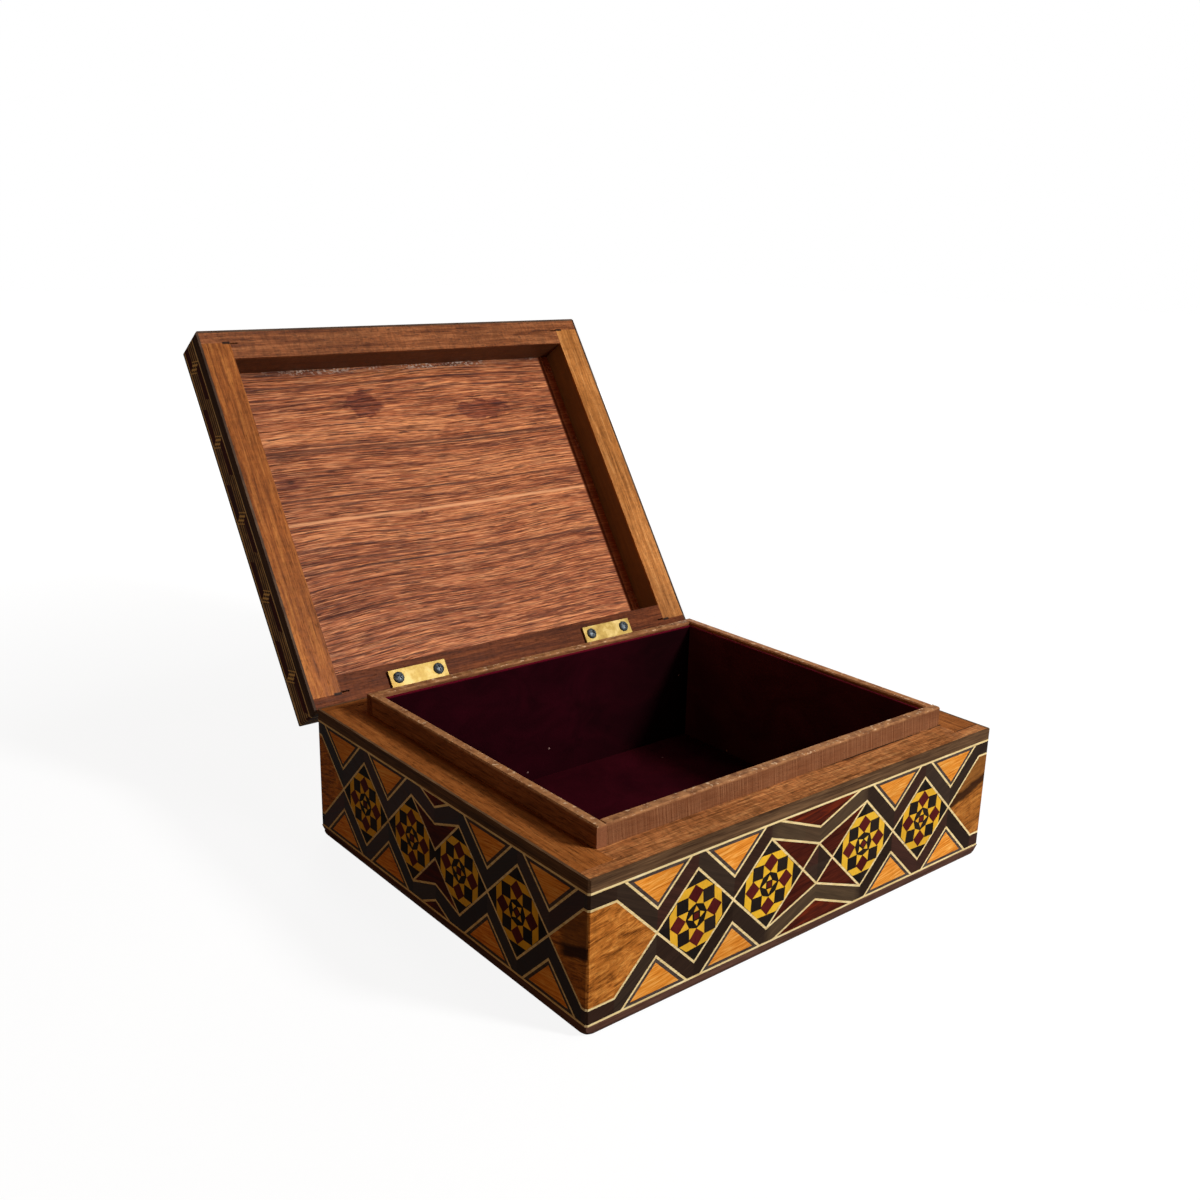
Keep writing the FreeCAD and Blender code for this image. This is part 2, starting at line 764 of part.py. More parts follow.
rim_strips = []
hinge_gaps = []
for sign in hinge_sides.values():
    half_seat = size("hinge_length") / 2 + size("mortise_gap")
    low_corner = Vector(number(hinge_centre(sign)) - half_seat, depth / 2 - overrun, 0)
    hinge_gaps.append(Part.makeBox(2 * half_seat, 2 * overrun, rim + overrun, low_corner))
for side in sides:
    rim_strip = plain_edging(side, rim - size("rim_edging"), rim, 0)
    rim_strips.extend(rim_strip.cut(hinge_gaps).Solids if side == "back" else rim_strip.Solids)
group("rim_edging", trimmed(rim_strips, base_block))

# Edges of the lid: a hatched ribbon that steps over and under dark red blocks
lid_block = eased_block(lid_low, lid_height)
ribbon_low = size("lid_foot") + string
ribbon_high = lid_height - size("crown_height") - string
lid_kinds = ("lid_foot_edging", "lid_edge_stringing", "lid_edge_ribbon", "lid_edge_blocks")
lid_groups = {kind: [] for kind in lid_kinds}


def edge_blocks(half):
    pitch = size("block_pitch")
    long_half = size("block_length") / 2
    short_half = long_half - size("block_slant")
    count = math.ceil(2 * half / pitch) + 1
    zone = oblong(-half, half, ribbon_low, ribbon_high)
    blocks = []
    for index in range(-count, count + 1):
        centre = index * pitch / 2 + size("block_shift")
        outer = ribbon_low if index % 2 else ribbon_high
        inner = outer + size("block_height") * (1 if index % 2 else -1)
        block = polygon(
            [
                (centre - long_half, outer),
                (centre + long_half, outer),
                (centre + short_half, inner),
                (centre - short_half, inner),
            ]
        )
        blocks.extend(block.common(zone).Faces)
    return blocks, zone.cut(blocks).Faces


for side in sides:
    half = sheet_half(side)
    blocks, ribbon = edge_blocks(half)
    faces = {
        "lid_foot_edging": [oblong(-half, half, 0, size("lid_foot"))],
        "lid_edge_stringing": [
            oblong(-half, half, ribbon_low - string, ribbon_low),
            oblong(-half, half, ribbon_high, ribbon_high + string),
        ],
        "lid_edge_ribbon": ribbon,
        "lid_edge_blocks": blocks,
    }
    for kind, flat in faces.items():
        for face in flat:
            lid_groups[kind].extend(stand(inlay(face), side, lid_low).Solids)
barrel_room = number(barrel_seat)
reliefs = []
for gap_box in hinge_gaps:
    bounds = gap_box.BoundBox
    low_corner = Vector(bounds.XMin, depth / 2 - barrel_room, lid_low - overrun)
    relief_height = overrun + size("swing_gap")
    reliefs.append(Part.makeBox(bounds.XLength, barrel_room + overrun, relief_height, low_corner))
relieved = [strip.cut(reliefs).Solids[0] for strip in lid_groups["lid_foot_edging"]]
lid_groups["lid_foot_edging"] = relieved
for kind, solids in lid_groups.items():
    group(kind, trimmed(solids, lid_block), on_lid=True)

crown_low = lid_height - size("crown_height")
crown_sizes = [size("crown_height"), size("crown_depth"), size("crown_round")]
crown_strips = [moulding(side, *crown_sizes, lid_low + crown_low, False) for side in sides]
group("lid_crown_edging", trimmed(crown_strips, lid_block), on_lid=True)


# Top of the lid: the same stars in rows, diamonds between them, and two borders
def ring(outer_x, outer_y, inner_x, inner_y):
    outer = oblong(-outer_x, outer_x, -outer_y, outer_y)
    return outer.cut(oblong(-inner_x, inner_x, -inner_y, inner_y)).Faces


def lid_top():
    crown_x = width / 2 - size("crown_depth")
    crown_y = depth / 2 - size("crown_depth")
    edge_x = crown_x - string
    edge_y = crown_y - string
    step_x = edge_x - size("top_border")
    step_y = edge_y - size("top_border")
    columns = int((step_x - string) / star)
    rows = int((step_y - string) / star)
    field_x = columns * star
    field_y = rows * star
    places_x = [(2 * index - columns + 1) * star for index in range(columns)]
    places_y = [(2 * index - rows + 1) * star for index in range(rows)]
    joints = [(x + star, y + star) for x in places_x[:-1] for y in places_y[:-1]]
    net = []
    for x in places_x:
        for y in places_y:
            net.append([(x, y - star), (x + star, y), (x, y + star), (x - star, y), (x, y - star)])
    tiles = tiles_between(oblong(-field_x, field_x, -field_y, field_y), net)
    stars = holding(tiles, [(x, y) for x in places_x for y in places_y])
    diamonds = holding(tiles, joints)
    border = ring(edge_x, edge_y, step_x, step_y)
    line_out = string / 2
    bands = ring(step_x - string, step_y - string, field_x + line_out, field_y + line_out)
    whole = oblong(-crown_x, crown_x, -crown_y, crown_y)
    return {
        "lid_top_stringing": whole.cut(tiles + border + bands).Faces,
        "lid_top_bands": bands,
        "lid_top_stars": stars,
        "lid_top_diamonds": diamonds,
        "lid_top_triangles": without(tiles, stars + diamonds),
        "lid_top_border": border,
    }


for label, faces in lid_top().items():
    solids = []
    for face in faces:
        solid = inlay(face)
        solid.translate(Vector(0, 0, lid_low + lid_height))
        solids.append(solid)
    group(label, solids, on_lid=True)

# Every object and every shape is tested before anything is written
document.recompute()
for item in document.Objects:
    if "Invalid" in item.State or "Error" in item.State:
        raise RuntimeError(f"{item.Name} failed: {item.State}")
for piece in sub_parts:
    if piece.Shape.isNull() or not piece.Shape.isValid() or not piece.Shape.Solids:
        raise RuntimeError(f"{piece.Label} has no valid solid")

os.makedirs("parts", exist_ok=True)
for piece in sub_parts:
    piece.Shape.exportStep(f"parts/{piece.Label}.step")
    print(f"{piece.Label}: {len(piece.Shape.Solids)} solids, {piece.Shape.Volume:.1f} mm3")
print(f"{len(sub_parts)} sub-parts")
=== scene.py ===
import math
import random

import bpy
from mathutils import Matrix, Vector


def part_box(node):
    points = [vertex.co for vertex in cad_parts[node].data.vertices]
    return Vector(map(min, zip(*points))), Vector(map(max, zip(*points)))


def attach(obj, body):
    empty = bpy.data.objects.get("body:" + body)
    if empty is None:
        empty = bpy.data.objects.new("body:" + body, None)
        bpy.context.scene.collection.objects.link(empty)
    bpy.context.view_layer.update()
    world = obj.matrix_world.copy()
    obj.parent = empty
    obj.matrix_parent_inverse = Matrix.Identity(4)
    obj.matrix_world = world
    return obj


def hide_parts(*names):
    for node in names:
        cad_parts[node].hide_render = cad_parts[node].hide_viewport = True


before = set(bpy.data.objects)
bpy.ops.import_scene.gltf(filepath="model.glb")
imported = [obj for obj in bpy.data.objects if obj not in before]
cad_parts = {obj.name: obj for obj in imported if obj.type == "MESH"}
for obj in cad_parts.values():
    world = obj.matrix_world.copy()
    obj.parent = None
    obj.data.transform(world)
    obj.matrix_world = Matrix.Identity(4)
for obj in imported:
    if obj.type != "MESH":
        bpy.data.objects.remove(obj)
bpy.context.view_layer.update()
bpy.ops.object.select_all(action="DESELECT")
scene = bpy.context.scene
scene.view_settings.view_transform = "Standard"
mm = 0.001
print("frame:", len(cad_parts), "CAD nodes")

# The lid stands open in the CAD frame, so its patterns are laid out on the closed lid and turned with it
lidTurn = math.radians(124.3)
hingeLine = Vector((0, 85, 51.75)) * mm
closeLid = Matrix.Rotation(lidTurn, 4, "X")
lidShift = hingeLine - closeLid @ hingeLine
openLid = Matrix.Translation(hingeLine) @ closeLid.inverted() @ Matrix.Translation(-hingeLine)
depthPerWidth = 0.85  # the box is 170 mm deep and 200 mm wide


def tone(red, green, blue):  # a screen colour, 0 to 255, as the shader wants it
    shades = [((c / 255 + 0.055) / 1.055) ** 2.4 if c > 10 else c / 3294.6 for c in (red, green, blue)]
    return (*shades, 1.0)


def grey(value):
    return (value, value, value, 1.0)


class Finish:
    # one material, built node by node
    def __init__(self, name, onLid=False):
        self.material = bpy.data.materials.new(name)
        self.material.use_nodes = True
        self.tree = self.material.node_tree
        self.tree.nodes.clear()
        self.where = self.put("TexCoord").outputs["Object"]
        if onLid:
            self.where = self.move(self.where, turn=(lidTurn, 0, 0), shift=lidShift)

    def put(self, kind, inputs=None, **settings):
        node = self.tree.nodes.new("ShaderNode" + kind)
        for key, value in settings.items():
            setattr(node, key, value)
        for key, value in (inputs or {}).items():
            if isinstance(value, bpy.types.NodeSocket):
                self.tree.links.new(value, node.inputs[key])
            else:
                node.inputs[key].default_value = value
        return node

    def calc(self, operation, first, second=0.0):
        return self.put("Math", {0: first, 1: second}, operation=operation).outputs[0]

    def plus(self, first, second):
        return self.calc("ADD", first, second)

    def minus(self, first, second):
        return self.calc("SUBTRACT", first, second)

    def times(self, first, second):
        return self.calc("MULTIPLY", first, second)

    def split(self, vector):
        return self.put("SeparateXYZ", {0: vector}).outputs

    def gather(self, x, y, z):
        return self.put("CombineXYZ", {0: x, 1: y, 2: z}).outputs[0]

    def move(self, vector, turn=(0, 0, 0), shift=(0, 0, 0), stretch=(1, 1, 1)):
        inputs = {"Vector": vector, "Rotation": turn, "Location": shift, "Scale": stretch}
        return self.put("Mapping", inputs).outputs[0]

    def grain(self, vector, size, detail=3.0, rough=0.55, bend=0.0):  # noise cells of a size in mm
        cells = self.move(vector, stretch=[1000 / s for s in size])
        inputs = {"Vector": cells, "Scale": 1.0, "Detail": detail, "Roughness": rough, "Distortion": bend}
        return self.put("TexNoise", inputs).outputs[0]

    def level(self, value, low, high, toLow=0.0, toHigh=1.0):
        inputs = {"Value": value, "From Min": low, "From Max": high, "To Min": toLow, "To Max": toHigh}
        return self.put("MapRange", inputs).outputs[0]

    def rise(self, place, low, high):  # 0 before low, 1 past high, both in mm
        return self.level(place, low * mm, high * mm)

    def fall(self, place, low, high):  # 1 before low, 0 past high, both in mm
        return self.level(place, low * mm, high * mm, 1.0, 0.0)

    def away(self, place, centre):  # distance from a centre in mm
        return self.calc("ABSOLUTE", self.minus(place, centre * mm))

    def line(self, place, centre, core, edge):  # 1 at a centre, 0 further off than edge, all in mm
        return self.fall(self.away(place, centre), core, edge)

    def stripes(self, value, core, edge):  # one line half way between each two whole numbers
        off = self.calc("ABSOLUTE", self.minus(self.calc("FRACT", value), 0.5))
        return self.level(off, core, edge, 1.0, 0.0)

    def spot(self, vector, centre, reach, edge=0.35):  # 1 inside a soft ellipsoid, sizes in mm
        shift = [-c / r for c, r in zip(centre, reach)]
        place = self.move(vector, shift=shift, stretch=[1000 / r for r in reach])
        far = self.put("VectorMath", {0: place}, operation="LENGTH").outputs["Value"]
        return self.level(far, 1 - edge, 1 + edge, 1.0, 0.0)

    def ramp(self, factor, *stops):
        node = self.put("ValToRGB", {0: factor})
        points = node.color_ramp.elements
        while len(points) < len(stops):
            points.new(1.0)
        for point, (place, colour) in zip(points, stops):
            point.position = place
            point.color = colour
        return node.outputs[0]

    def tones(self, factor, look, *places):  # a look's three colours
        keys = ("deep", "body", "pale")
        return self.ramp(factor, *[(place, tone(*look[key])) for place, key in zip(places, keys)])

    def mix(self, factor, first, second, way="MIX"):
        return self.put("Mix", {0: factor, 6: first, 7: second}, data_type="RGBA", blend_type=way).outputs[2]

    def paint(self, colour, mask, amount, tint):  # lays a screen colour over another where the mask is 1
        return self.mix(self.times(mask, amount), colour, tone(*tint))

    def dim(self, colour, value):
        return self.mix(1.0, colour, self.gather(value, value, value), "MULTIPLY")

    def shade(self, colour, low, high, value, dark):  # multiplies by a grey that follows a noise
        return self.mix(1.0, colour, self.ramp(value, (low, grey(dark)), (high, grey(1.0))), "MULTIPLY")

    def sides(self):  # runs round the four sides: u along the side, 1 on a short side, height
        x, y, z = self.split(self.where)
        onSide = self.calc("GREATER_THAN", self.times(self.calc("ABSOLUTE", x), depthPerWidth),
                           self.calc("ABSOLUTE", y))
        along = self.times(x, self.times(self.calc("SIGN", y), -1.0))
        across = self.times(y, self.calc("SIGN", x))
        u = self.put("Mix", {0: onSide, 2: along, 3: across}).outputs[0]
        return u, onSide, z

    def close(self, colour, roughness, height, depth, gloss=None, **shader):  # depth of the relief in mm
        bump = self.put("Bump", {"Strength": 1.0, "Distance": depth * mm, "Height": height})
        inputs = {"Base Color": colour, "Roughness": roughness, "Normal": bump.outputs[0], **shader}
        if gloss is not None:
            inputs["Specular IOR Level"] = gloss
        surface = self.put("BsdfPrincipled", inputs)
        self.put("OutputMaterial", {0: surface.outputs[0]})
        return self.material


def dress(material, *nodes):
    for name in nodes:
        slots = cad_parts[name].data.materials
        slots.clear()
        slots.append(material)


def placedCopy(piece, place):
    copy = piece.copy()
    copy.data = piece.data.copy()
    copy.data.transform(place)
    scene.collection.objects.link(copy)
    return copy


def joinPieces(name, pieces):
    bpy.ops.object.select_all(action="DESELECT")
    for piece in pieces:
        piece.select_set(True)
    bpy.context.view_layer.objects.active = pieces[0]
    bpy.ops.object.join()
    whole = bpy.context.object
    whole.name = name
    return whole


# Camera at the photograph's angle
cameraLook = {"place": (-310.52, -340.88, 236.77), "azimuth": -39.633, "rise": 16.41, "roll": 1.4,
              "lens": 38.0, "nearest": 0.01}


def setCamera(look):
    turn, rise, roll = (math.radians(look[k]) for k in ("azimuth", "rise", "roll"))
    back = Vector((math.sin(turn) * math.cos(rise), -math.cos(turn) * math.cos(rise), math.sin(rise)))
    right = (-back).cross(Vector((0, 0, 1))).normalized()
    up = back.cross(right)
    level = Matrix((right, up, back)).transposed() @ Matrix.Rotation(roll, 3, "Z")
    bpy.ops.object.camera_add(location=Vector(look["place"]) * mm, rotation=level.to_euler())
    camera = bpy.context.object
    camera.data.lens = look["lens"]
    camera.data.clip_start = look["nearest"]
    scene.camera = camera
    camera.select_set(False)


setCamera(cameraLook)

# Studio: a key lamp at the front right, soft ones above and behind, a warm one at the left, white paper below
# each lamp has its direction, distance, size, power and tint
studioLook = {
    "lamps": {"keyLamp": ((1.47, -2.8, 1.9), 1.3, 0.22, 18.5, (1.0, 1.0, 1.0)),
              "topLamp": ((0.4, -0.4, 1.4), 1.5, 0.5, 3.0, (1.0, 1.0, 1.0)),
              "sideLamp": ((-2.6, -1.0, 0.9), 1.5, 0.9, 2.1, (1.0, 0.55, 0.27)),
              "backLamp": ((0.9, 1.6, 0.35), 1.5, 0.8, 11.0, (1.0, 1.0, 1.0))},
    "aim": (0, 0, 0.06), "room": 0.045, "roomTint": (1.0, 0.6, 0.32),
    "floor": 8, "paper": 0.13, "paperGlow": 0.9, "whiteRing": (0.3, 0.7), "mirrored": 0.12,
}


def lightStudio(look):
    middle = Vector(look["aim"])
    for name, (way, distance, size, power, tint) in look["lamps"].items():
        place = middle + Vector(way).normalized() * distance
        turn = (place - middle).to_track_quat("Z", "Y").to_euler()
        bpy.ops.object.light_add(type="AREA", location=place, rotation=turn)
        lamp = bpy.context.object
        lamp.name = name
        lamp.data.shape = "DISK"
        lamp.data.size = size
        lamp.data.energy = power
        lamp.data.color = tint
        lamp.select_set(False)

    bpy.ops.mesh.primitive_plane_add(size=look["floor"], location=(0, 0, 0))
    floor = bpy.context.object
    floor.name = "paperFloor"
    floor.select_set(False)
    f = Finish("whitePaper")
    fibre = f.grain(f.where, (4, 4, 4))
    seen = f.put("LightPath").outputs
    shown = f.calc("MAXIMUM", seen["Is Camera Ray"], f.times(seen["Is Glossy Ray"], look["mirrored"]))
    far = f.put("VectorMath", {0: f.where}, operation="LENGTH").outputs["Value"]
    lift = f.level(far, *look["whiteRing"], look["paperGlow"], 1.0)  # pure white further out
    paper = f.ramp(fibre, (0.3, grey(look["paper"] * 0.96)), (0.7, grey(look["paper"])))
    matt = f.put("BsdfDiffuse", {0: paper})
    glow = f.put("Emission", {0: grey(1.0), 1: f.times(shown, lift)})
    both = f.put("AddShader", {0: matt.outputs[0], 1: glow.outputs[0]})
    f.put("OutputMaterial", {0: both.outputs[0]})
    floor.data.materials.append(f.material)

    # the room is white to the camera and a faint warm light to everything else
    world = bpy.data.worlds.new("whiteRoom")
    scene.world = world
    world.use_nodes = True
    tree = world.node_tree
    tree.nodes.clear()
    path = tree.nodes.new("ShaderNodeLightPath")
    light, white = (tree.nodes.new("ShaderNodeBackground") for _ in range(2))
    light.inputs[1].default_value = look["room"]
    white.inputs[1].default_value = 1.0
    light.inputs[0].default_value = (*look["roomTint"], 1.0)
    white.inputs[0].default_value = grey(1.0)
    swap = tree.nodes.new("ShaderNodeMixShader")
    end = tree.nodes.new("ShaderNodeOutputWorld")
    tree.links.new(path.outputs["Is Camera Ray"], swap.inputs[0])
    tree.links.new(light.outputs[0], swap.inputs[1])
    tree.links.new(white.outputs[0], swap.inputs[2])
    tree.links.new(swap.outputs[0], end.inputs[0])


lightStudio(studioLook)
print("studio set")

# Plain wood: streaks, fibres, flecks and clouding along one direction. A look names what differs from this;
# streak and fibre are width and length, and all sizes are in mm
woodLook = {"wave": 0.5, "cloud": (45, 22, 22), "cloudDark": 0.84, "flecks": 0, "fleck": (3.4, 0.42, 0.42),
            "figure": 0, "ripple": (2.2, 5, 5), "rough": 0.45, "bump": 0.05, "gloss": 0.1, "round": False}


def woodFinish(name, ownLook, turn=(0, 0, 0), shift=(0, 0, 0), onLid=False, extra=None):
    look = dict(woodLook, **ownLook)
    f = Finish(name, onLid)
    if look["round"]:  # short sides take another part of the noise
        u, onSide, z = f.sides()
        f.where = f.gather(u, f.times(onSide, 0.5), z)
    f.run = f.move(f.where, turn=turn, shift=[s * mm for s in shift])
    wide, long = look["streak"]
    streak = f.grain(f.run, (long, wide, wide), 5.0, 0.62, look["wave"])
    wide, long = look["fibre"]
    fibre = f.grain(f.run, (long, wide, wide), 3.0, 0.6)
    value = f.plus(f.times(streak, 0.6), f.times(fibre, 0.4))
    colour = f.tones(value, look, 0.36, 0.5, 0.64)
    colour = f.shade(colour, 0.35, 0.6, f.grain(f.run, look["cloud"], 2.0), look["cloudDark"])
    height = f.times(fibre, 0.6)
    if look["flecks"]:
        fleck = f.level(f.grain(f.run, look["fleck"], 1.5), 0.58, 0.68)
        colour = f.paint(colour, fleck, look["flecks"], [c * 0.55 for c in look["deep"]])
        height = f.minus(height, f.times(fleck, 0.8))
    if look["figure"]:
        ripple = f.grain(f.run, look["ripple"], 3.0, 0.6, 1.2)
        colour = f.shade(colour, 0.38, 0.6, ripple, 1 - look["figure"])
    roughness = f.level(streak, 0.3, 0.7, look["rough"] - 0.05, look["rough"] + 0.1)
    if extra:
        colour, roughness, height = extra(f, colour, roughness, height)
    return f.close(colour, roughness, height, look["bump"], look["gloss"])


turned = (0, 0, math.pi / 2)  # for wood that runs from front to back

# Walls: the ledge round the mouth is all that shows of them
ledgeLook = {"deep": (118, 68, 34), "body": (182, 114, 64), "pale": (226, 160, 98), "streak": (1.6, 30),
             "wave": 1.2, "fibre": (0.5, 7), "flecks": 0.55, "figure": 0.36, "rough": 0.46, "bump": 0.06}
sideLedgeLook = dict(ledgeLook, deep=(112, 62, 26), body=(156, 90, 40), pale=(184, 114, 56), figure=0.14)
bottomLook = dict(ledgeLook, deep=(120, 80, 45), body=(160, 112, 66), pale=(186, 140, 90))
jointLook = {"tint": (34, 19, 12), "gap": -71.1, "lap": -79.0,
             "ticks": (((87.4, -79.0, 53.5), (0.9, 0.3, 3)), ((86.5, -71.0, 53.5), (0.5, 0.45, 3)))}


def jointMarks(f, colour, roughness, height):
    # the lip has lifted a little at the front right, and the lapped corner there shows its joint
    x, y, _ = f.split(f.where)
    wobble = f.grain(f.where, (9, 9, 9))
    gap = f.times(f.line(y, jointLook["gap"], 0.2, 0.6), f.rise(x, 2, 30))
    gap = f.times(gap, f.level(wobble, 0.35, 0.5))
    gap = f.times(gap, f.fall(x, 86.4, 86.8))
    lap = f.times(f.line(y, jointLook["lap"], 0.1, 0.4), f.rise(x, 86.0, 86.6))
    lap = f.times(lap, f.level(wobble, 0.3, 0.6, 0.25, 0.8))
    ticks = [f.spot(f.where, centre, reach) for centre, reach in jointLook["ticks"]]
    mark = f.calc("MAXIMUM", gap, f.calc("MAXIMUM", lap, f.calc("MAXIMUM", *ticks)))
    return f.mix(mark, colour, tone(*jointLook["tint"])), roughness, f.minus(height, mark)


dress(woodFinish("ledgeFront", ledgeLook, extra=jointMarks), "front_wall")
dress(woodFinish("ledgeBack", sideLedgeLook, shift=(0, 310, 0)), "back_wall")
dress(woodFinish("ledgeLeft", sideLedgeLook, turned, (40, 0, 0)), "left_wall")
dress(woodFinish("ledgeRight", sideLedgeLook, turned, (170, 90, 0), extra=jointMarks), "right_wall")
dress(woodFinish("bottomBoard", bottomLook), "bottom_board")

# Lips: all are worn along the top, and the front one is sawn and left rough on its outer face
lipLook = {"deep": (86, 48, 28), "body": (118, 72, 44), "pale": (148, 98, 64), "streak": (1.3, 30),
           "fibre": (0.45, 6), "flecks": 0.5, "rough": 0.58, "bump": 0.07, "gloss": 0.06,
           "wornTint": (190, 136, 88), "chipTint": (228, 192, 152), "endTints": ((92, 52, 32), (140, 88, 60)),
           "sawnTint": (112, 66, 40), "cutTint": (160, 110, 76), "cutsPerMetre": 1400.0, "cutSlant": 0.12}
sideLip = dict(lipLook, deep=(108, 62, 36), body=(150, 92, 56), pale=(178, 118, 76))
# painted light: the left lip lies in shade, so its wood is a lighter copy of the lip wood
leftLip = dict(lipLook, deep=(104, 64, 40), body=(146, 96, 62), pale=(172, 120, 82))


def wornTop(f, colour):
    high = f.split(f.where)[2]
    worn = f.level(f.grain(f.where, (3, 3, 3)), 0.38, 0.62, 0.2, 1.0)
    colour = f.paint(colour, f.times(f.rise(high, 60.0, 61.1), worn), 0.7, lipLook["wornTint"])
    chip = f.level(f.grain(f.where, (2.2, 2.2, 0.9), 3.0, 0.7), 0.58, 0.66)
    return f.paint(colour, f.times(f.rise(high, 60.5, 61.0), chip), 0.8, lipLook["chipTint"])


def sawMarks(f, colour, roughness, height):
    x, y, high = f.split(f.where)
    bent = f.plus(x, f.times(high, lipLook["cutSlant"]))
    cuts = {"W": f.times(bent, lipLook["cutsPerMetre"]), "Scale": 1.0, "Detail": 4.0, "Roughness": 0.7}
    line = f.put("TexNoise", cuts, noise_dimensions="1D").outputs[0]
    patch = f.level(f.grain(f.where, (14, 9, 9), 2.0), 0.38, 0.6, 0.35, 1.0)
    outer = f.times(f.fall(high, 60.0, 60.8), f.rise(y, -70.0, -70.4))
    cut = f.times(f.times(f.level(line, 0.36, 0.66), patch), outer)
    colour = f.paint(colour, outer, 0.7, lipLook["sawnTint"])  # the saw hides the figure
    colour = f.paint(colour, cut, 0.7, lipLook["cutTint"])
    return wornTop(f, colour), f.plus(roughness, 0.08), f.plus(height, f.times(cut, 1.6))


def plainLip(f, colour, roughness, height):
    y = f.split(f.where)[1]
    end = f.rise(f.calc("ABSOLUTE", y), 69.8, 70.7)  # end grain at the corners
    rings = f.level(f.grain(f.where, (0.7, 40, 9)), 0.35, 0.65, 0.75, 1.0)
    dark, light = (tone(*tint) for tint in lipLook["endTints"])
    colour = f.mix(f.times(end, 0.8), colour, f.mix(rings, dark, light))
    return wornTop(f, colour), roughness, height


dress(woodFinish("lipFront", lipLook, extra=sawMarks), "front_lip")
dress(woodFinish("lipBack", lipLook, shift=(0, 120, 0), extra=plainLip), "back_lip")
dress(woodFinish("lipLeft", leftLip, turned, extra=plainLip), "left_lip")
dress(woodFinish("lipRight", sideLip, turned, (90, 40, 0), extra=plainLip), "right_lip")
print("walls and lips finished")

# Lid frame: four rails of different boards
railLook = {"deep": (122, 64, 23), "body": (168, 94, 38), "pale": (204, 128, 60), "streak": (2.0, 46),
            "fibre": (0.5, 7), "flecks": 0.5, "figure": 0.18, "cloudDark": 0.76, "rough": 0.42}
frontRail = dict(railLook, deep=(100, 52, 28), body=(148, 86, 48), pale=(180, 114, 70), figure=0.3,
                 flecks=0.7)
backRail = dict(railLook, deep=(68, 32, 16), body=(104, 52, 26), pale=(136, 74, 40), gloss=0.05)
rightRail = dict(railLook, deep=(142, 86, 38), body=(190, 120, 57), pale=(216, 150, 84))
# painted shade: the rails' faces towards the recess are painted darker, and the right rail's face greyer; the
# kerf marks are real
recessLook = {"recessShade": ((76, 44, 28), 0.7), "shade": ((108, 84, 60), 0.82), "kerf": (88.2, 79.0),
              "kerfTint": (16, 9, 6)}


def recessShadeAndKerf(f, colour, roughness, height, paintKey="recessShade"):
    # painted shade on the faces towards the recess, and the saw ran past the corners
    x, y, z = f.split(f.where)
    outX = f.calc("ABSOLUTE", x)
    outY = f.calc("ABSOLUTE", y)
    inside = f.times(f.rise(outX, 86.8, 86.6), f.rise(outY, 71.8, 71.6))
    deep = f.times(inside, f.rise(z, 54.0, 55.2))
    tint, amount = recessLook[paintKey]
    colour = f.paint(colour, deep, amount, tint)
    kerfX, kerfY = recessLook["kerf"]
    kerf = f.times(f.line(outY, kerfY, 0.4, 0.7), f.line(outX, kerfX, 1.6, 1.8))
    return f.paint(colour, kerf, 0.92, recessLook["kerfTint"]), roughness, height


def innerShade(f, colour, roughness, height):  # painted: this face lies in shade and looks grey in the photo
    return recessShadeAndKerf(f, colour, roughness, height, "shade")


dress(woodFinish("railFront", frontRail, onLid=True, extra=recessShadeAndKerf), "lid_front_rail")
dress(woodFinish("railBack", backRail, onLid=True, shift=(0, 77, 0), extra=recessShadeAndKerf), "lid_back_rail")
dress(woodFinish("railLeft", railLook, turned, onLid=True, extra=recessShadeAndKerf), "lid_left_rail")
rightWood = woodFinish("railRight", rightRail, turned, (33, 150, 0), onLid=True, extra=innerShade)
dress(rightWood, "lid_right_rail")

# Lid panel: coarse open fibre that bows a little, stains, knots, a pale line and specks of glue.
# Stains and knots have a centre and a reach, veins a place and a half width, all in mm
panelLook = {"deep": (88, 39, 22), "body": (171, 94, 54), "pale": (232, 152, 95), "sway": 4.0,
             "ribPitch": 1.25, "poreTint": (66, 29, 19), "hairTint": (230, 156, 104), "ribTint": (72, 32, 20),
             "streakTint": (66, 29, 20), "stainTint": (178, 148, 152), "knotTint": (92, 36, 24),
             "coreTint": (52, 22, 15), "veinTint": (70, 32, 21), "paleLine": 1.4, "paleTint": (232, 162, 112),
             "glueTint": (226, 196, 176), "shadeTint": (150, 78, 48), "shadeDark": (0.13, 0.085, 0.07, 1.0),
             "shadeLight": (1.3, 1.15, 1.1, 1.0),
             "stains": (((-25.6, -52.9), (9.5, 6.2)), ((37, -45.5), (15, 5.0))),
             "veins": ((-64.1, 0.8), (-32.9, 0.9), (-31.2, 0.6), (-9.5, 0.7), (24.0, 0.8)),
             "knots": (((-72.4, -18.6), (6.0, 3.0)), ((-14.4, 2.4), (1.8, 1.6)))}


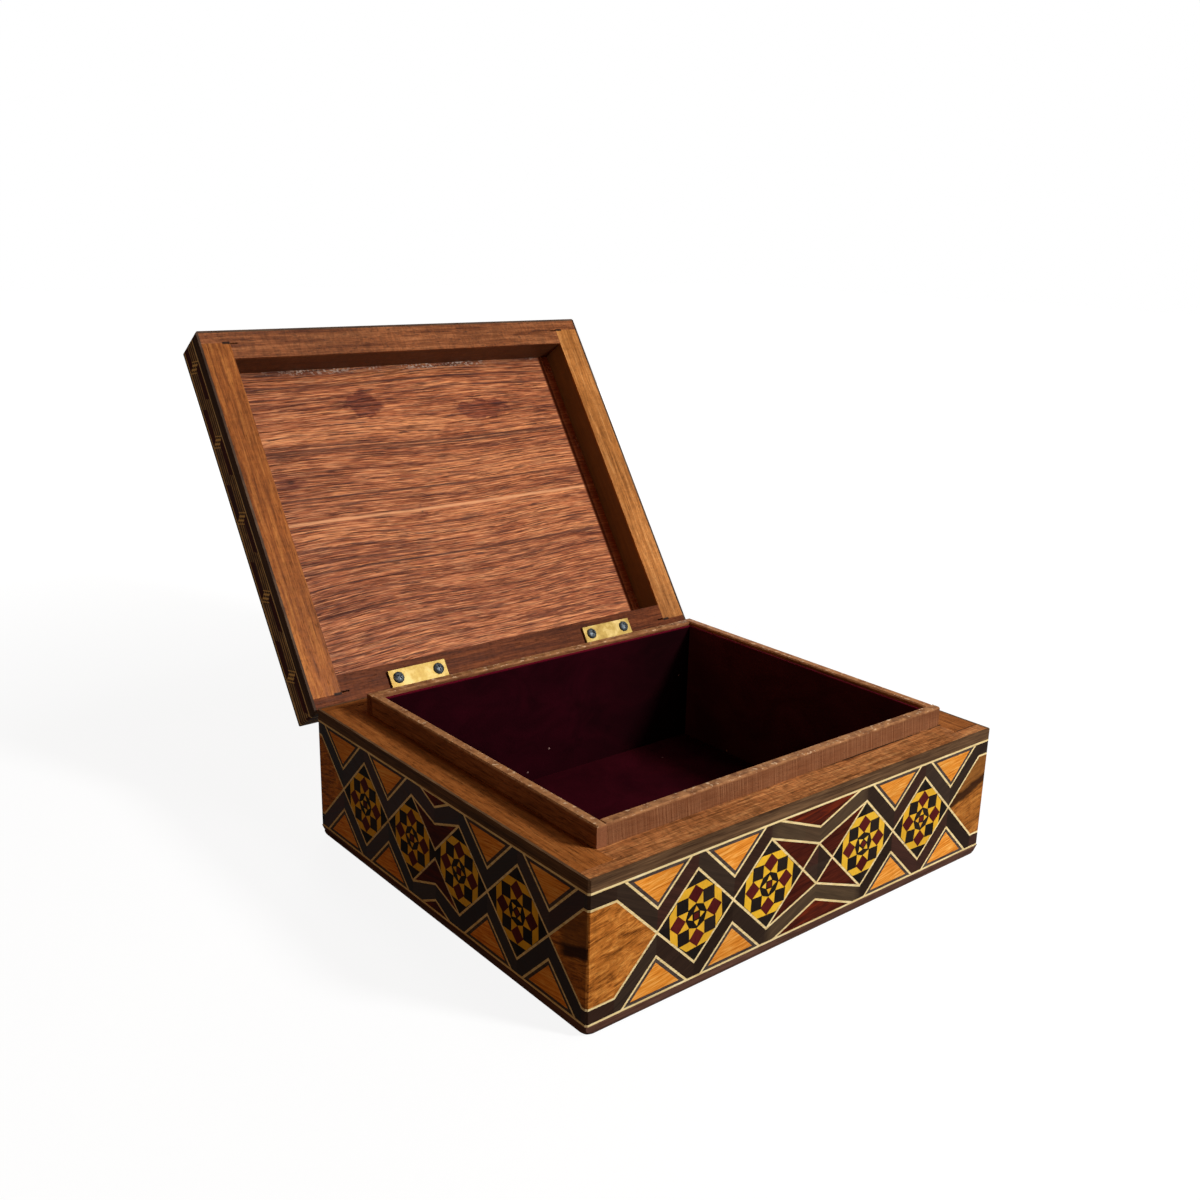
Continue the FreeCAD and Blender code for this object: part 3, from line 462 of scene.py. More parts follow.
def panelFibre(f, look, bent, run, value):
    colour = f.tones(value, look, 0.39, 0.5, 0.61)
    pores = f.level(f.grain(run, (14, 0.5, 0.5), 1.0), 0.56, 0.62)
    colour = f.paint(colour, pores, 0.55, look["poreTint"])
    hairs = f.level(f.grain(f.move(run, shift=(0.3, 0.2, 0)), (16, 0.5, 0.5), 1.0), 0.57, 0.63)
    colour = f.paint(colour, hairs, 0.55, look["hairTint"])
    warp = f.level(f.grain(run, (80, 5.0, 5.0), 3.0, 0.6), 0.3, 0.7, -0.9 * mm, 0.9 * mm)
    warp = f.plus(warp, f.level(f.grain(run, (9, 1.2, 1.2), 2.0), 0.3, 0.7, -0.35 * mm, 0.35 * mm))
    rib = f.stripes(f.calc("DIVIDE", f.plus(bent, warp), look["ribPitch"] * mm), 0.16, 0.3)
    rib = f.times(rib, f.level(f.grain(run, (20, 1.5, 1.5), 3.0, 0.6), 0.4, 0.6, 0.0, 0.85))
    colour = f.mix(rib, colour, tone(*look["ribTint"]))
    streak = f.level(f.grain(run, (190, 1.3, 1.3), 3.0, 0.6, 0.2), 0.58, 0.64)
    return f.paint(colour, streak, 0.6, look["streakTint"]), rib


def panelMarks(f, look, colour, y, sway, broad, thread):
    deep = 900  # the marks go through the board
    noise = {"Vector": f.move(f.where, stretch=(190, 300, 0)), "Scale": 1.0, "Detail": 4.0}
    ragged = f.put("TexNoise", noise).outputs[1]
    ragged = f.move(ragged, shift=(-0.006, -0.005, 0), stretch=(0.012, 0.010, 0))
    ragged = f.put("VectorMath", {0: f.where, 1: ragged}, operation="ADD").outputs[0]
    for centre, reach in look["stains"]:
        stain = f.spot(ragged, (*centre, 0), (*reach, deep), 0.12)
        colour = f.mix(f.times(stain, 0.9), colour, tone(*look["stainTint"]), "MULTIPLY")
    for centre, reach in look["knots"]:
        knot = f.spot(ragged, (*centre, 0), (*reach, deep), 0.5)
        core = f.spot(f.where, (*centre, 0), (reach[0] * 0.3, reach[1] * 0.3, deep), 0.5)
        colour = f.paint(colour, f.times(knot, f.level(thread, 0.4, 0.6, 1.0, 0.5)), 0.8, look["knotTint"])
        colour = f.paint(colour, core, 0.8, look["coreTint"])
    for place, half in look["veins"]:
        vein = f.line(f.plus(y, f.times(sway, 0.4)), place, 0.3 * half, half)
        vein = f.times(vein, f.level(broad, 0.35, 0.6, 0.4, 0.9))
        colour = f.mix(vein, colour, tone(*look["veinTint"]))
    pale = f.line(f.plus(y, f.times(sway, 0.25)), look["paleLine"], 0.3, 1.0)
    pale = f.times(pale, f.level(thread, 0.3, 0.45, 0.3, 1.0))
    return f.paint(colour, pale, 0.85, look["paleTint"])


def panelEdges(f, look, colour, x, y):
    crumbs = f.level(f.grain(f.where, (1.5, 1.2, 1.2), 3.0, 0.7), 0.5, 0.58)
    frontEdge = f.times(f.fall(y, -70.4, -68.5), f.level(f.grain(f.where, (24, 60, 60), 2.0), 0.42, 0.56))
    rightEdge = f.times(f.rise(x, 83.8, 85.0), f.level(f.grain(f.where, (60, 17, 60), 2.0), 0.46, 0.58))
    glue = f.times(crumbs, f.calc("MAXIMUM", frontEdge, rightEdge))
    colour = f.paint(colour, glue, 0.9, look["glueTint"])
    colour = f.dim(colour, f.level(y, -71.2 * mm, -65.5 * mm, 0.5, 1.0))  # grime along the front rail
    # painted shade along the front rail
    strip = f.rise(x, 79.9, 80.9)
    colour = f.paint(colour, strip, 0.7, look["shadeTint"])
    shade = f.mix(f.rise(x, 82.0, 83.0), look["shadeDark"], look["shadeLight"])
    return f.mix(strip, colour, shade, "MULTIPLY"), glue, strip


def panelFinish(look):
    f = Finish("lidPanel", True)
    x, y, z = f.split(f.where)
    sway = f.level(f.grain(f.where, (190, 80, 80), 1.0), 0.3, 0.7, -look["sway"] * mm, look["sway"] * mm)
    bent = f.plus(y, sway)
    run = f.gather(x, bent, z)
    broad = f.grain(run, (150, 7.0, 7.0), 4.0, 0.6, 0.3)
    thread = f.grain(run, (26, 0.7, 0.7), 2.0, 0.65, 0.05)
    fine = f.grain(run, (7, 0.5, 0.5), 2.0, 0.7)
    value = f.plus(f.times(broad, 0.34), f.plus(f.times(thread, 0.34), f.times(fine, 0.32)))
    colour, rib = panelFibre(f, look, bent, run, value)
    colour = panelMarks(f, look, colour, y, sway, broad, thread)
    colour, glue, strip = panelEdges(f, look, colour, x, y)
    height = f.minus(f.plus(thread, f.times(glue, 0.8)), f.times(rib, 0.7))
    gloss = f.times(f.minus(1.0, strip), 0.15)
    return f.close(colour, f.level(value, 0.4, 0.6, 0.58, 0.44), height, 0.2, gloss)


dress(panelFinish(panelLook), "lid_panel")
print("lid frame and panel finished")

# Marquetry of the sides, in mm: the pattern's middle height, half the stars' distance, and for the long and
# the short sides the outer face, the shift along it and the stars' centres
sideLook = {"middle": 26.55, "halfPitch": 16.8, "names": ("front", "right", "back", "left"),
            "long": (85, 2.5, (24.4, 58.0)), "short": (100, 0.3, (15.15, 48.75))}
bandLook = {"tints": ((46, 31, 22), (66, 51, 40), (74, 43, 34), (53, 37, 27)), "middle": (94, 74, 53)}


def bandFinish(name, turns, shift, centre, onLong):
    f = Finish(name)
    local = f.move(f.where, turn=(0, 0, -math.pi / 2 * turns))
    x, y, z = f.split(local)
    u = f.minus(x, shift * mm)
    v = f.minus(z, sideLook["middle"] * mm)
    far = f.calc("ABSOLUTE", u)
    up = f.calc("SIGN", v)

    # every leg of the zigzag is a veneer of its own
    half = sideLook["halfPitch"]
    order = f.calc("FLOOR", f.calc("DIVIDE", f.minus(far, (centre - half) * mm), half * mm))
    key = f.gather(f.times(f.plus(order, 3.0), f.calc("SIGN", u)), up, float(turns))
    chance = f.put("TexWhiteNoise", {"Vector": key}, noise_dimensions="3D").outputs[0]
    colour = f.ramp(chance, *[(0.12 + 0.25 * i, tone(*t)) for i, t in enumerate(bandLook["tints"])])
    if onLong:
        middle = f.times(f.fall(far, 21.5, 25.5), f.rise(f.calc("ABSOLUTE", v), 6.6, 7.2))
        colour = f.paint(colour, middle, 0.8, bandLook["middle"])
    tilt = f.minus(v, f.times(f.times(far, up), 0.5))
    run = f.gather(u, y, tilt)
    fibre = f.grain(run, (7, 0.3, 0.3), 3.0, 0.6)
    streak = f.grain(run, (26, 1.4, 1.4), 3.0, 0.6, 0.4)
    colour = f.shade(colour, 0.3, 0.65, streak, 0.66)
    colour = f.shade(colour, 0.3, 0.65, fibre, 0.7)
    return f.close(colour, f.level(streak, 0.3, 0.7, 0.34, 0.48), fibre, 0.03, 0.08)


for turns, side in enumerate(sideLook["names"]):
    onLong = turns % 2 == 0
    _, shift, centres = sideLook["long" if onLong else "short"]
    dress(bandFinish(side + "Bands", turns, shift, centres[0], onLong), side + "_bands")

creamLook = {"deep": (198, 166, 108), "body": (238, 212, 152), "pale": (250, 232, 184), "streak": (0.9, 14),
             "fibre": (0.3, 4), "cloudDark": 0.88, "rough": 0.42, "bump": 0.03, "gloss": 0.02, "round": True}
cream = woodFinish("creamString", creamLook)
creamLid = woodFinish("creamStringLid", creamLook, onLid=True)
dress(cream, "front_stringing", "back_stringing", "left_stringing", "right_stringing")
dress(creamLid, "lid_edge_stringing", "lid_top_stringing")

orangeLook = {"deep": (190, 98, 22), "body": (236, 148, 52), "pale": (252, 190, 100), "streak": (1.5, 30),
              "wave": 2.2, "fibre": (0.35, 6), "rough": 0.36, "bump": 0.03, "gloss": 0.02, "round": True}
dress(woodFinish("orangeTriangle", orangeLook, turn=(0, 0.12, 0)), "orange_triangles")
dress(woodFinish("orangeTriangleLid", dict(orangeLook, round=False), onLid=True), "lid_top_triangles")

lineLook = {"deep": (54, 44, 40), "body": (78, 66, 60), "pale": (100, 86, 78), "streak": (1.0, 12),
            "fibre": (0.4, 5), "rough": 0.42, "bump": 0.03, "gloss": 0.02, "round": True}
dress(woodFinish("triangleOutline", lineLook), "triangle_edgings")

redLook = {"deep": (46, 16, 12), "body": (74, 29, 19), "pale": (96, 37, 23), "streak": (1.7, 30), "wave": 0.8,
           "fibre": (0.4, 6), "rough": 0.36, "bump": 0.03, "gloss": 0.02, "round": True,
           "flameTint": (140, 52, 24)}


def redStreaks(f, colour, roughness, height):
    high = f.split(f.where)[2]
    rim = f.rise(f.away(high, sideLook["middle"]), 12.5, 14.5)
    flame = f.level(f.grain(f.run, (22, 2.6, 2.6), 3.0, 0.6, 0.8), 0.48, 0.66)
    return f.paint(colour, f.times(rim, flame), 0.55, redLook["flameTint"]), roughness, height


dress(woodFinish("redPieces", redLook, turn=(0, 0.1, 0), extra=redStreaks), "red_pieces")
dress(woodFinish("redLid", redLook, onLid=True), "lid_edge_blocks")
dress(woodFinish("redDiamond", dict(redLook, round=False), onLid=True), "lid_top_diamonds")

panelWalnut = {"deep": (94, 50, 20), "body": (192, 114, 45), "pale": (236, 158, 74), "streak": (5.0, 24),
               "wave": 3.4, "fibre": (0.4, 6), "flecks": 0.55, "figure": 0.2, "rough": 0.36, "bump": 0.04,
               "gloss": 0.02, "round": True}
flareLook = {"start": (89.3, 30.3), "slope": 0.29, "tint": (46, 25, 14), "dullTint": (112, 72, 34)}


def darkFlare(f, colour, roughness, height):  # a dark streak across the right end panel, duller wood above it
    x, _, z = f.split(f.where)
    startX, startZ = flareLook["start"]
    slope = f.times(f.minus(x, startX * mm), flareLook["slope"])
    bow = f.minus(z, f.plus(startZ * mm, slope))
    bow = f.plus(bow, f.level(f.grain(f.where, (12, 12, 5)), 0.3, 0.7, -0.8 * mm, 0.8 * mm))
    right = f.rise(x, 70, 74)
    streak = f.times(f.fall(f.calc("ABSOLUTE", bow), 1.4, 2.8), right)
    duller = f.times(f.level(bow, 0.0, 2 * mm, 0.35, 1.0), right)
    colour = f.paint(colour, duller, 0.75, flareLook["dullTint"])
    return f.paint(colour, streak, 0.94, flareLook["tint"]), roughness, height


dress(woodFinish("endPanels", panelWalnut, turn=(0, 0.22, 0), extra=darkFlare), "end_panels")
dress(woodFinish("topBorder", dict(panelWalnut, round=False), onLid=True), "lid_top_border")

rimLook = {"deep": (62, 44, 31), "body": (95, 70, 49), "pale": (122, 92, 64), "streak": (1.4, 44),
           "fibre": (0.45, 9), "rough": 0.42, "bump": 0.04, "gloss": 0.02, "round": True}
dress(woodFinish("rimEdging", rimLook), "rim_edging")

# Foot: a moulding with a rounded bottom edge, chipped along the underside
foot = {"high": 3.8, "deep": 3.2, "corner": 2.6, "round": 1.5, "steps": 6, "crease": 30}
footLook = dict(rimLook, deep=(62, 41, 33), body=(92, 63, 52), pale=(114, 80, 66), chipTint=(190, 156, 116))


def wornFoot(f, colour, roughness, height):
    along, _, high = f.split(f.where)
    worn = f.level(f.away(along, 20), 30 * mm, 75 * mm, 1.0, 0.25)
    chips = f.level(f.grain(f.where, (2.4, 1.8, 0.7), 4.0, 0.7), 0.53, 0.6)
    chips = f.times(chips, f.times(worn, f.fall(high, 0.5, 1.2)))
    colour = f.paint(colour, chips, 0.8, footLook["chipTint"])
    return colour, f.plus(roughness, f.times(chips, 0.2)), height


footWood = woodFinish("footEdging", footLook, extra=wornFoot)
dress(footWood, "foot_edging")


def layFoot(look):
    low, high = (Vector(c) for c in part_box("foot_edging"))
    tall = look["high"] * mm
    bpy.ops.object.select_all(action="DESELECT")
    bpy.ops.mesh.primitive_cube_add(size=1, location=(0, 0, tall / 2))
    ring = bpy.context.object
    ring.name = "footMoulding"
    ring.dimensions = (high.x - low.x, high.y - low.y, tall)
    bpy.ops.object.transform_apply(location=True, rotation=True, scale=True)

    # round the bottom edges, and the corners with them, but leave the top square under the marquetry
    bpy.ops.object.mode_set(mode="EDIT")
    bpy.ops.mesh.select_mode(type="EDGE")
    bpy.ops.mesh.select_all(action="DESELECT")
    bpy.ops.object.mode_set(mode="OBJECT")
    for edge in ring.data.edges:
        edge.select = max(ring.data.vertices[i].co.z for i in edge.vertices) < tall / 2
    bpy.ops.object.mode_set(mode="EDIT")
    bpy.ops.mesh.bevel(offset=look["round"] * mm, segments=look["steps"], affect="EDGES",
                       miter_inner="ARC", spread=look["corner"] * mm)

    # inset the flat top and underside, then join the two holes
    bpy.ops.mesh.select_mode(type="FACE")
    for side, inset in ((1, look["deep"]), (-1, look["deep"] - look["round"])):
        bpy.ops.object.mode_set(mode="OBJECT")
        for face in ring.data.polygons:
            face.select = face.normal.z * side > 0.99
        bpy.ops.object.mode_set(mode="EDIT")
        bpy.ops.mesh.inset(thickness=inset * mm)
    bpy.ops.object.mode_set(mode="OBJECT")
    biggest = sorted(ring.data.polygons, key=lambda face: -face.area)[:2]
    chosen = {face.index for face in biggest}
    for face in ring.data.polygons:
        face.select = face.index in chosen
    bpy.ops.object.mode_set(mode="EDIT")
    bpy.ops.mesh.bridge_edge_loops()
    bpy.ops.mesh.select_all(action="SELECT")
    bpy.ops.mesh.normals_make_consistent(inside=False)
    bpy.ops.object.mode_set(mode="OBJECT")
    bpy.ops.object.shade_smooth_by_angle(angle=math.radians(look["crease"]))
    ring.data.materials.append(footWood)
    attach(ring, "base")
    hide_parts("foot_edging")
    ring.select_set(False)


layFoot(foot)
lidFootLook = dict(footLook, deep=(54, 40, 32), body=(82, 62, 50), pale=(106, 84, 66))
dress(woodFinish("lidFoot", lidFootLook, onLid=True), "lid_foot_edging", "lid_crown_edging")
dress(woodFinish("lidTopBand", dict(lidFootLook, round=False), onLid=True), "lid_top_bands")
print("marquetry woods finished")

# Hatched ribbon round the lid's edge, with bold dashes where it steps up
ribbonLook = {"line": (206, 172, 118), "ground": (80, 64, 54), "dash": (240, 206, 134), "pitch": 1.9,
              "slant": 0.05, "middle": 64.8, "step": 34.9, "start": 12.9, "lean": -0.45, "dashPitch": 1.9,
              "dashHalf": (2.7, 2.9)}


def ribbonFinish(look):
    f = Finish("hatchedRibbon", True)
    u, _, z = f.sides()
    slant = f.plus(z, f.times(u, look["slant"]))
    line = f.stripes(f.calc("DIVIDE", slant, look["pitch"] * mm), 0.14, 0.26)
    faded = f.level(f.grain(f.where, (5, 5, 5)), 0.35, 0.62, 0.35, 1.0)
    colour = f.mix(f.times(line, faded), tone(*look["ground"]), tone(*look["line"]))
    lean = f.plus(u, f.times(f.minus(z, look["middle"] * mm), look["lean"]))
    turnAt = f.minus(lean, (look["start"] - look["step"] / 4) * mm)
    steps = f.plus(f.calc("DIVIDE", turnAt, look["step"] * mm), 0.5)
    part = f.times(f.minus(f.calc("FRACT", steps), 0.5), look["step"])  # mm from the nearest step
    comb = f.stripes(f.calc("DIVIDE", part, look["dashPitch"]), 0.2, 0.3)
    dash = f.times(comb, f.level(f.calc("ABSOLUTE", part), *look["dashHalf"], 1.0, 0.0))
    colour = f.mix(dash, colour, tone(*look["dash"]))
    return f.close(colour, 0.45, line, 0.03, 0.02)


dress(ribbonFinish(ribbonLook), "lid_edge_ribbon")

# Stars: small tiles of yellow, black and red wood glued round a red centre; sizes in mm, twists in degrees
starLook = {"octagon": 11.4, "redOut": 7.95, "redHalf": 3.4, "blackOut": 5.75, "blackHalf": 2.5,
            "heart": 4.65, "petalOut": 2.3, "petal": 1.35, "core": 1.5, "thick": 0.03, "slack": 0.12,
            "twist": 3.0, "frontTwists": (-1.5, 1.0, 5.0, -2.5), "heartTurns": (90, 45, 90, 45),
            "lidHigh": 73.25, "lidPitch": 33.6, "lidColumns": (-2, -1, 0, 1, 2),
            "lidRows": (-50.4, -16.8, 16.8, 50.4)}
starWoods = {"Yellow": ("lemonWood", ((222, 160, 48), (246, 192, 52), (236, 178, 44), (250, 204, 74)), 0.85),
             "Red": ("redWood", ((78, 24, 24), (98, 34, 32), (88, 28, 26)), 0.75),
             "Black": ("blackWood", ((30, 25, 22), (40, 33, 29), (46, 37, 32)), 0.7)}


def inlayShapes(name, shapes, thick):
    # every shape is a flat polygon: corners, radius, x, y, turn, level; then all get their thickness.
    # The modifier keeps the corners in order, so the tiles' tints are the same in every run
    bpy.ops.object.select_all(action="DESELECT")
    bpy.ops.mesh.primitive_circle_add(location=(0, 0, 0))
    piece = bpy.context.object
    piece.name = name
    bpy.ops.object.mode_set(mode="EDIT")
    bpy.ops.mesh.delete(type="VERT")  # leaves an empty mesh at the origin
    for count, radius, x, y, turn, level in shapes:
        place = (x * mm, y * mm, level * thick * mm)
        bpy.ops.mesh.primitive_circle_add(vertices=count, radius=radius * mm, fill_type="NGON",
                                          location=place, rotation=(0, 0, math.radians(turn)))
    bpy.ops.object.mode_set(mode="OBJECT")
    solid = piece.modifiers.new("thick", "SOLIDIFY")
    solid.thickness = thick * mm
    solid.offset = 1.0
    bpy.ops.object.modifier_apply(modifier=solid.name)
    piece.select_set(False)
    return piece


def around(count, out, start):
    turns = [start + 360 / count * i for i in range(count)]
    return [(out * math.cos(math.radians(a)), out * math.sin(math.radians(a)), a) for a in turns]


def starModel(look, heartTurn, luck):
    flat = look["octagon"] / math.cos(math.pi / 8)
    diagonal = look["blackOut"] * math.sqrt(2)
    blackReach = look["blackHalf"] * math.sqrt(2)

    def tesserae(count, radius, out, start, lean, level):  # laid by hand, so never quite true
        slack = look["slack"]
        return [(count, radius, x + luck.uniform(-slack, slack), y + luck.uniform(-slack, slack),
                 a + lean + luck.uniform(-20, 20) * slack, level) for x, y, a in around(4, out, start)]

    yellow = [(8, flat, 0, 0, 22.5, 0)] + tesserae(3, look["petal"], look["petalOut"], heartTurn, -90, 2)
    red = tesserae(4, look["redHalf"], look["redOut"], 0, 0, 1) + [(4, look["core"], 0, 0, heartTurn + 45, 2)]
    black = tesserae(4, blackReach, diagonal, 45, 0, 1) + [(8, look["heart"], 0, 0, 0, 1)]
    return {"Yellow": inlayShapes("starYellow", yellow, look["thick"]),
            "Red": inlayShapes("starRed", red, look["thick"]),
            "Black": inlayShapes("starBlack", black, look["thick"])}


def starFinish(name, tints, dark):
    f = Finish(name)
    chance = f.put("NewGeometry").outputs["Random Per Island"]
    colour = f.ramp(chance, *[(i / (len(tints) - 1), tone(*t)) for i, t in enumerate(tints)])
    fibre = f.grain(f.where, (0.5, 0.5, 2.4), 3.0, 0.6)
    colour = f.shade(colour, 0.3, 0.6, fibre, dark)
    colour = f.shade(colour, 0.3, 0.6, f.grain(f.where, (7, 7, 7), 2.0), 0.85)
    return f.close(colour, f.level(fibre, 0.3, 0.7, 0.3, 0.42), fibre, 0.02, 0.02)


starFinishes = {key: starFinish(*wood) for key, wood in starWoods.items()}
dress(starFinishes["Black"], "star_tiles", "lid_top_stars")


def sidePlaces():
    upright = Matrix(((1, 0, 0, 0), (0, 0, -1, 0), (0, 1, 0, 0), (0, 0, 0, 1)))
    for turns in range(4):
        outer, shift, centres = sideLook["short" if turns % 2 else "long"]
        for u in [s * c + shift for c in centres for s in (-1, 1)]:
            place = Matrix.Translation(Vector((u, -outer, sideLook["middle"])) * mm) @ upright
            yield Matrix.Rotation(math.pi / 2 * turns, 4, "Z") @ place


def lidPlaces():
    for column in starLook["lidColumns"]:
        for row in starLook["lidRows"]:
            place = Vector((starLook["lidPitch"] * column, row, starLook["lidHigh"])) * mm
            yield openLid @ Matrix.Translation(place)


def laySet(prefix, places, body, seed, twists=()):
    luck = random.Random(seed)
    laid = {key: [] for key in starFinishes}
    for index, place in enumerate(places):
        model = starModels[luck.randrange(len(starModels))]
        twist = twists[index] if index < len(twists) else luck.uniform(-1, 1) * starLook["twist"]
        spin = Matrix.Rotation(math.radians(90 * luck.randrange(4) + twist), 4, "Z")
        for key, piece in model.items():
            laid[key].append(placedCopy(piece, place @ spin))
    for key, copies in laid.items():
        whole = joinPieces(prefix + key, copies)
        whole.data.materials.append(starFinishes[key])
        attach(whole, body)
        whole.select_set(False)


handLuck = random.Random(2)
starModels = [starModel(starLook, turn, handLuck) for turn in starLook["heartTurns"]]
laySet("boxStar", sidePlaces(), "base", 7, starLook["frontTwists"])
laySet("lidStar", lidPlaces(), "lid", 11)
for model in starModels:
    for piece in model.values():
        bpy.data.objects.remove(piece)
print("stars laid")

# Velvet: five glued pieces, soft at their edges
velvetLook = {"deep": (30, 1, 7), "body": (38, 2, 10), "pale": (46, 3, 13), "soft": 0.32,
              "steps": 3, "crease": 40, "edgeTint": (122, 16, 40), "lintTint": (190, 150, 140),
              "lintScale": 62.0, "sheen": 0.06, "sheenRough": 0.4, "sheenTint": (190, 30, 60),
              "rightShade": None}
# painted light: the floor's velvet is a lighter copy, for the light that falls on it from above
floorLook = dict(velvetLook, deep=(38, 2, 11), body=(48, 4, 14), pale=(57, 6, 18))
# painted light: the right lining lies in shade, so its velvet is a lighter, greyer copy
shadedLook = dict(velvetLook, deep=(66, 26, 34), body=(78, 32, 42), pale=(88, 38, 48))


def velvetFinish(name, look):
    f = Finish(name)
    brushed = f.grain(f.where, (26, 26, 18), 3.0, 0.6, 0.8)
    pile = f.grain(f.where, (0.35, 0.35, 0.35), 2.0)
    colour = f.tones(brushed, look, 0.34, 0.5, 0.68)
    colour = f.shade(colour, 0.3, 0.65, pile, 0.6)
    x, _, high = f.split(f.where)
    if look["rightShade"]:  # painted shade towards the right, as in the photo
        colour = f.dim(colour, f.level(x, 15 * mm, 60 * mm, 1.0, look["rightShade"]))
    cutEdge = f.times(f.rise(high, 58.8, 59.5), f.level(pile, 0.3, 0.6, 0.3, 1.0))
    colour = f.paint(colour, cutEdge, 0.7, look["edgeTint"])
    specks = {"Vector": f.where, "Scale": look["lintScale"], "Randomness": 1.0}
    lint = f.level(f.put("TexVoronoi", specks).outputs[0], 0.022, 0.034, 0.6, 0.0)
    colour = f.mix(lint, colour, tone(*look["lintTint"]))
    sheen = {"Sheen Weight": look["sheen"], "Sheen Roughness": look["sheenRough"],
             "Sheen Tint": tone(*look["sheenTint"])}
    return f.close(colour, 0.9, pile, 0.12, 0.03, **sheen)


velvet = velvetFinish("crimsonVelvet", velvetLook)
floorVelvet = velvetFinish("crimsonVelvetFloor", floorLook)
backVelvet = velvetFinish("crimsonVelvetBack", dict(velvetLook, rightShade=0.4))
shadedVelvet = velvetFinish("crimsonVelvetShaded", shadedLook)


def layVelvet(name, node, cloth):
    low, high = (Vector(c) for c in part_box(node))
    bpy.ops.object.select_all(action="DESELECT")
    bpy.ops.mesh.primitive_cube_add(size=1, location=(low + high) / 2)
    piece = bpy.context.object
    piece.name = name
    piece.dimensions = high - low
    bpy.ops.object.transform_apply(location=True, rotation=True, scale=True)
    bpy.ops.object.mode_set(mode="EDIT")
    bpy.ops.mesh.select_all(action="SELECT")
    bpy.ops.mesh.bevel(offset=velvetLook["soft"] * mm, segments=velvetLook["steps"], affect="EDGES")
    bpy.ops.object.mode_set(mode="OBJECT")
    bpy.ops.object.shade_smooth_by_angle(angle=math.radians(velvetLook["crease"]))
    piece.data.materials.append(cloth)
    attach(piece, "base")
    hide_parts(node)
    piece.select_set(False)


for side in ("front", "back", "left", "right"):
    cloth = {"right": shadedVelvet, "back": backVelvet}.get(side, velvet)
    layVelvet(side + "VelvetCloth", side + "_velvet", cloth)
layVelvet("floorVelvetCloth", "floor_velvet", floorVelvet)
print("velvet laid")

# Hinges: brushed brass leaves and blued cross-head screws
brassLook = {"deep": (126, 98, 44), "body": (154, 128, 66), "pale": (196, 172, 112)}
steelLook = {"deep": (52, 58, 64), "body": (84, 92, 98), "pale": (120, 128, 132)}


def brassFinish(name, look, onLid):
    f = Finish(name, onLid)
    brush = f.grain(f.where, (14, 0.12, 0.12), 2.0)
    patch = f.grain(f.where, (6, 6, 6), 4.0, 0.6)
    colour = f.tones(patch, look, 0.3, 0.5, 0.68)
    colour = f.shade(colour, 0.3, 0.6, brush, 0.86)
    return f.close(colour, f.level(patch, 0.3, 0.7, 0.42, 0.58), brush, 0.012, Metallic=0.8)


def steelFinish(look):
    f = Finish("bluedSteel")
    patch = f.grain(f.where, (1.6, 1.6, 1.6), 4.0, 0.6)
    scratch = f.grain(f.where, (0.2, 2.0, 0.2), 2.0)
    colour = f.tones(patch, look, 0.32, 0.55, 0.7)
    return f.close(colour, f.level(patch, 0.3, 0.7, 0.36, 0.55), scratch, 0.01, Metallic=0.55)


brass = brassFinish("hingeBrass", brassLook, False)
brassLid = brassFinish("hingeBrassLid", brassLook, True)
steel = steelFinish(steelLook)
for side in ("left", "right"):
    dress(brass, side + "_hinge_base_leaf", side + "_hinge_pin")
    dress(brassLid, side + "_hinge_lid_leaf")

# Screws: round heads on the lid's leaves, flush ones on the base's
screwLook = {"reach": 2.5, "rise": 1.3, "slotWide": 0.55, "slotLong": 2.6, "slotDeep": 0.75, "segments": 32,
             "rings": 16, "crease": 35, "hinge": 51, "side": 9.6, "back": 78.25,
             "lidHigh": 52.55, "baseHigh": 50.95}
flushLook = dict(screwLook, reach=2.2, rise=0.15)


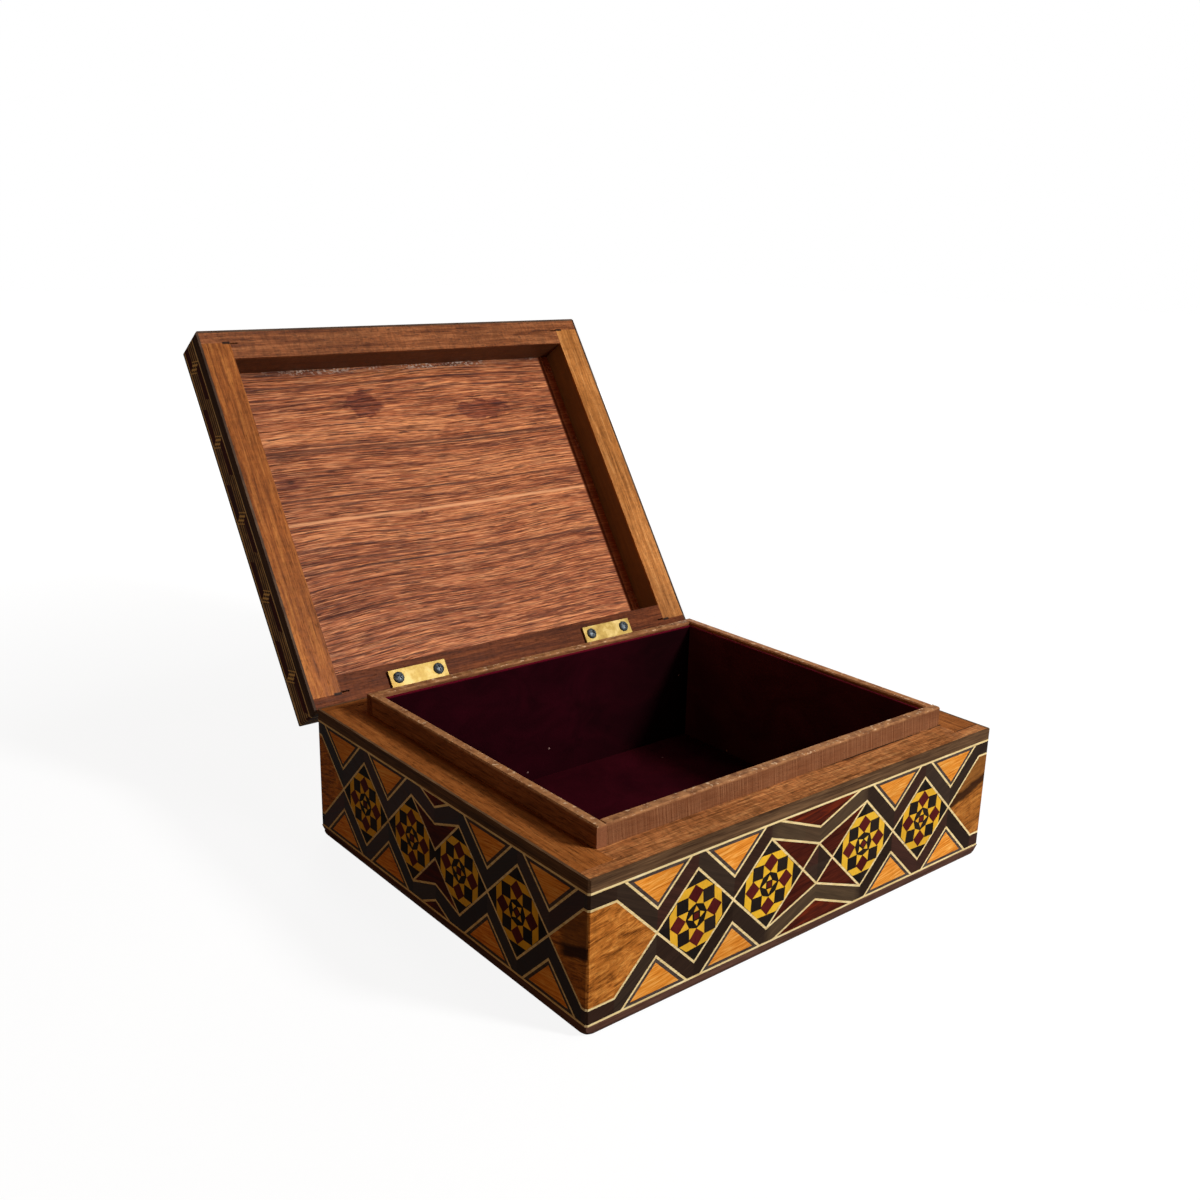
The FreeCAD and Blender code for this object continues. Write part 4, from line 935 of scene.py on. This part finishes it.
def screwModel(name, look):
    # half a ball, flattened, then a cross cut out of it
    bpy.ops.object.select_all(action="DESELECT")
    bpy.ops.mesh.primitive_uv_sphere_add(segments=look["segments"], ring_count=look["rings"],
                                         radius=look["reach"] * mm)
    head = bpy.context.object
    head.name = name
    bpy.ops.object.mode_set(mode="EDIT")
    bpy.ops.mesh.select_all(action="SELECT")
    bpy.ops.mesh.bisect(plane_co=(0, 0, 0), plane_no=(0, 0, 1), clear_inner=True, use_fill=True)
    bpy.ops.mesh.select_all(action="SELECT")
    bpy.ops.transform.resize(value=(1, 1, look["rise"] / look["reach"]), center_override=(0, 0, 0))
    bpy.ops.object.mode_set(mode="OBJECT")
    slotDeep = min(look["slotDeep"], look["rise"] * 0.8)
    for turn in (0, math.pi / 2):
        bpy.ops.object.select_all(action="DESELECT")
        bpy.ops.mesh.primitive_cube_add(size=1, location=(0, 0, look["rise"] * mm), rotation=(0, 0, turn))
        bar = bpy.context.object
        bar.dimensions = (look["slotLong"] * mm, look["slotWide"] * mm, 2 * slotDeep * mm)
        bpy.ops.object.transform_apply(location=True, rotation=True, scale=True)
        bpy.ops.object.select_all(action="DESELECT")
        bpy.context.view_layer.objects.active = head
        head.select_set(True)
        cut = head.modifiers.new("slot", "BOOLEAN")
        cut.operation = "DIFFERENCE"
        cut.object = bar
        cut.solver = "EXACT"
        bpy.ops.object.modifier_apply(modifier=cut.name)
        bpy.data.objects.remove(bar)
    bpy.ops.object.shade_smooth_by_angle(angle=math.radians(look["crease"]))
    head.select_set(False)
    return head


def setScrews(name, model, places, body, seed):
    luck = random.Random(seed)
    turns = [Matrix.Rotation(luck.uniform(0, math.pi), 4, "Z") for _ in places]
    whole = joinPieces(name, [placedCopy(model, place @ turn) for place, turn in zip(places, turns)])
    whole.data.materials.append(steel)
    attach(whole, body)
    whole.select_set(False)
    bpy.data.objects.remove(model)
    return whole


def screwPlaces(look, high):
    spots = [side * look["hinge"] + step * look["side"] for side in (-1, 1) for step in (-1, 1)]
    return [Matrix.Translation(Vector((x, look["back"], high)) * mm) for x in spots]


flip = Matrix.Rotation(math.pi, 4, "X")
lidScrewPlaces = [openLid @ place @ flip for place in screwPlaces(screwLook, screwLook["lidHigh"])]
lidScrews = setScrews("lidScrewHeads", screwModel("roundHead", screwLook), lidScrewPlaces, "lid", 3)
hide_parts("lid_hinge_screws")
baseScrewPlaces = screwPlaces(screwLook, screwLook["baseHigh"])
setScrews("baseScrewHeads", screwModel("flatHead", flushLook), baseScrewPlaces, "base", 5)
print("hinges and screws finished")
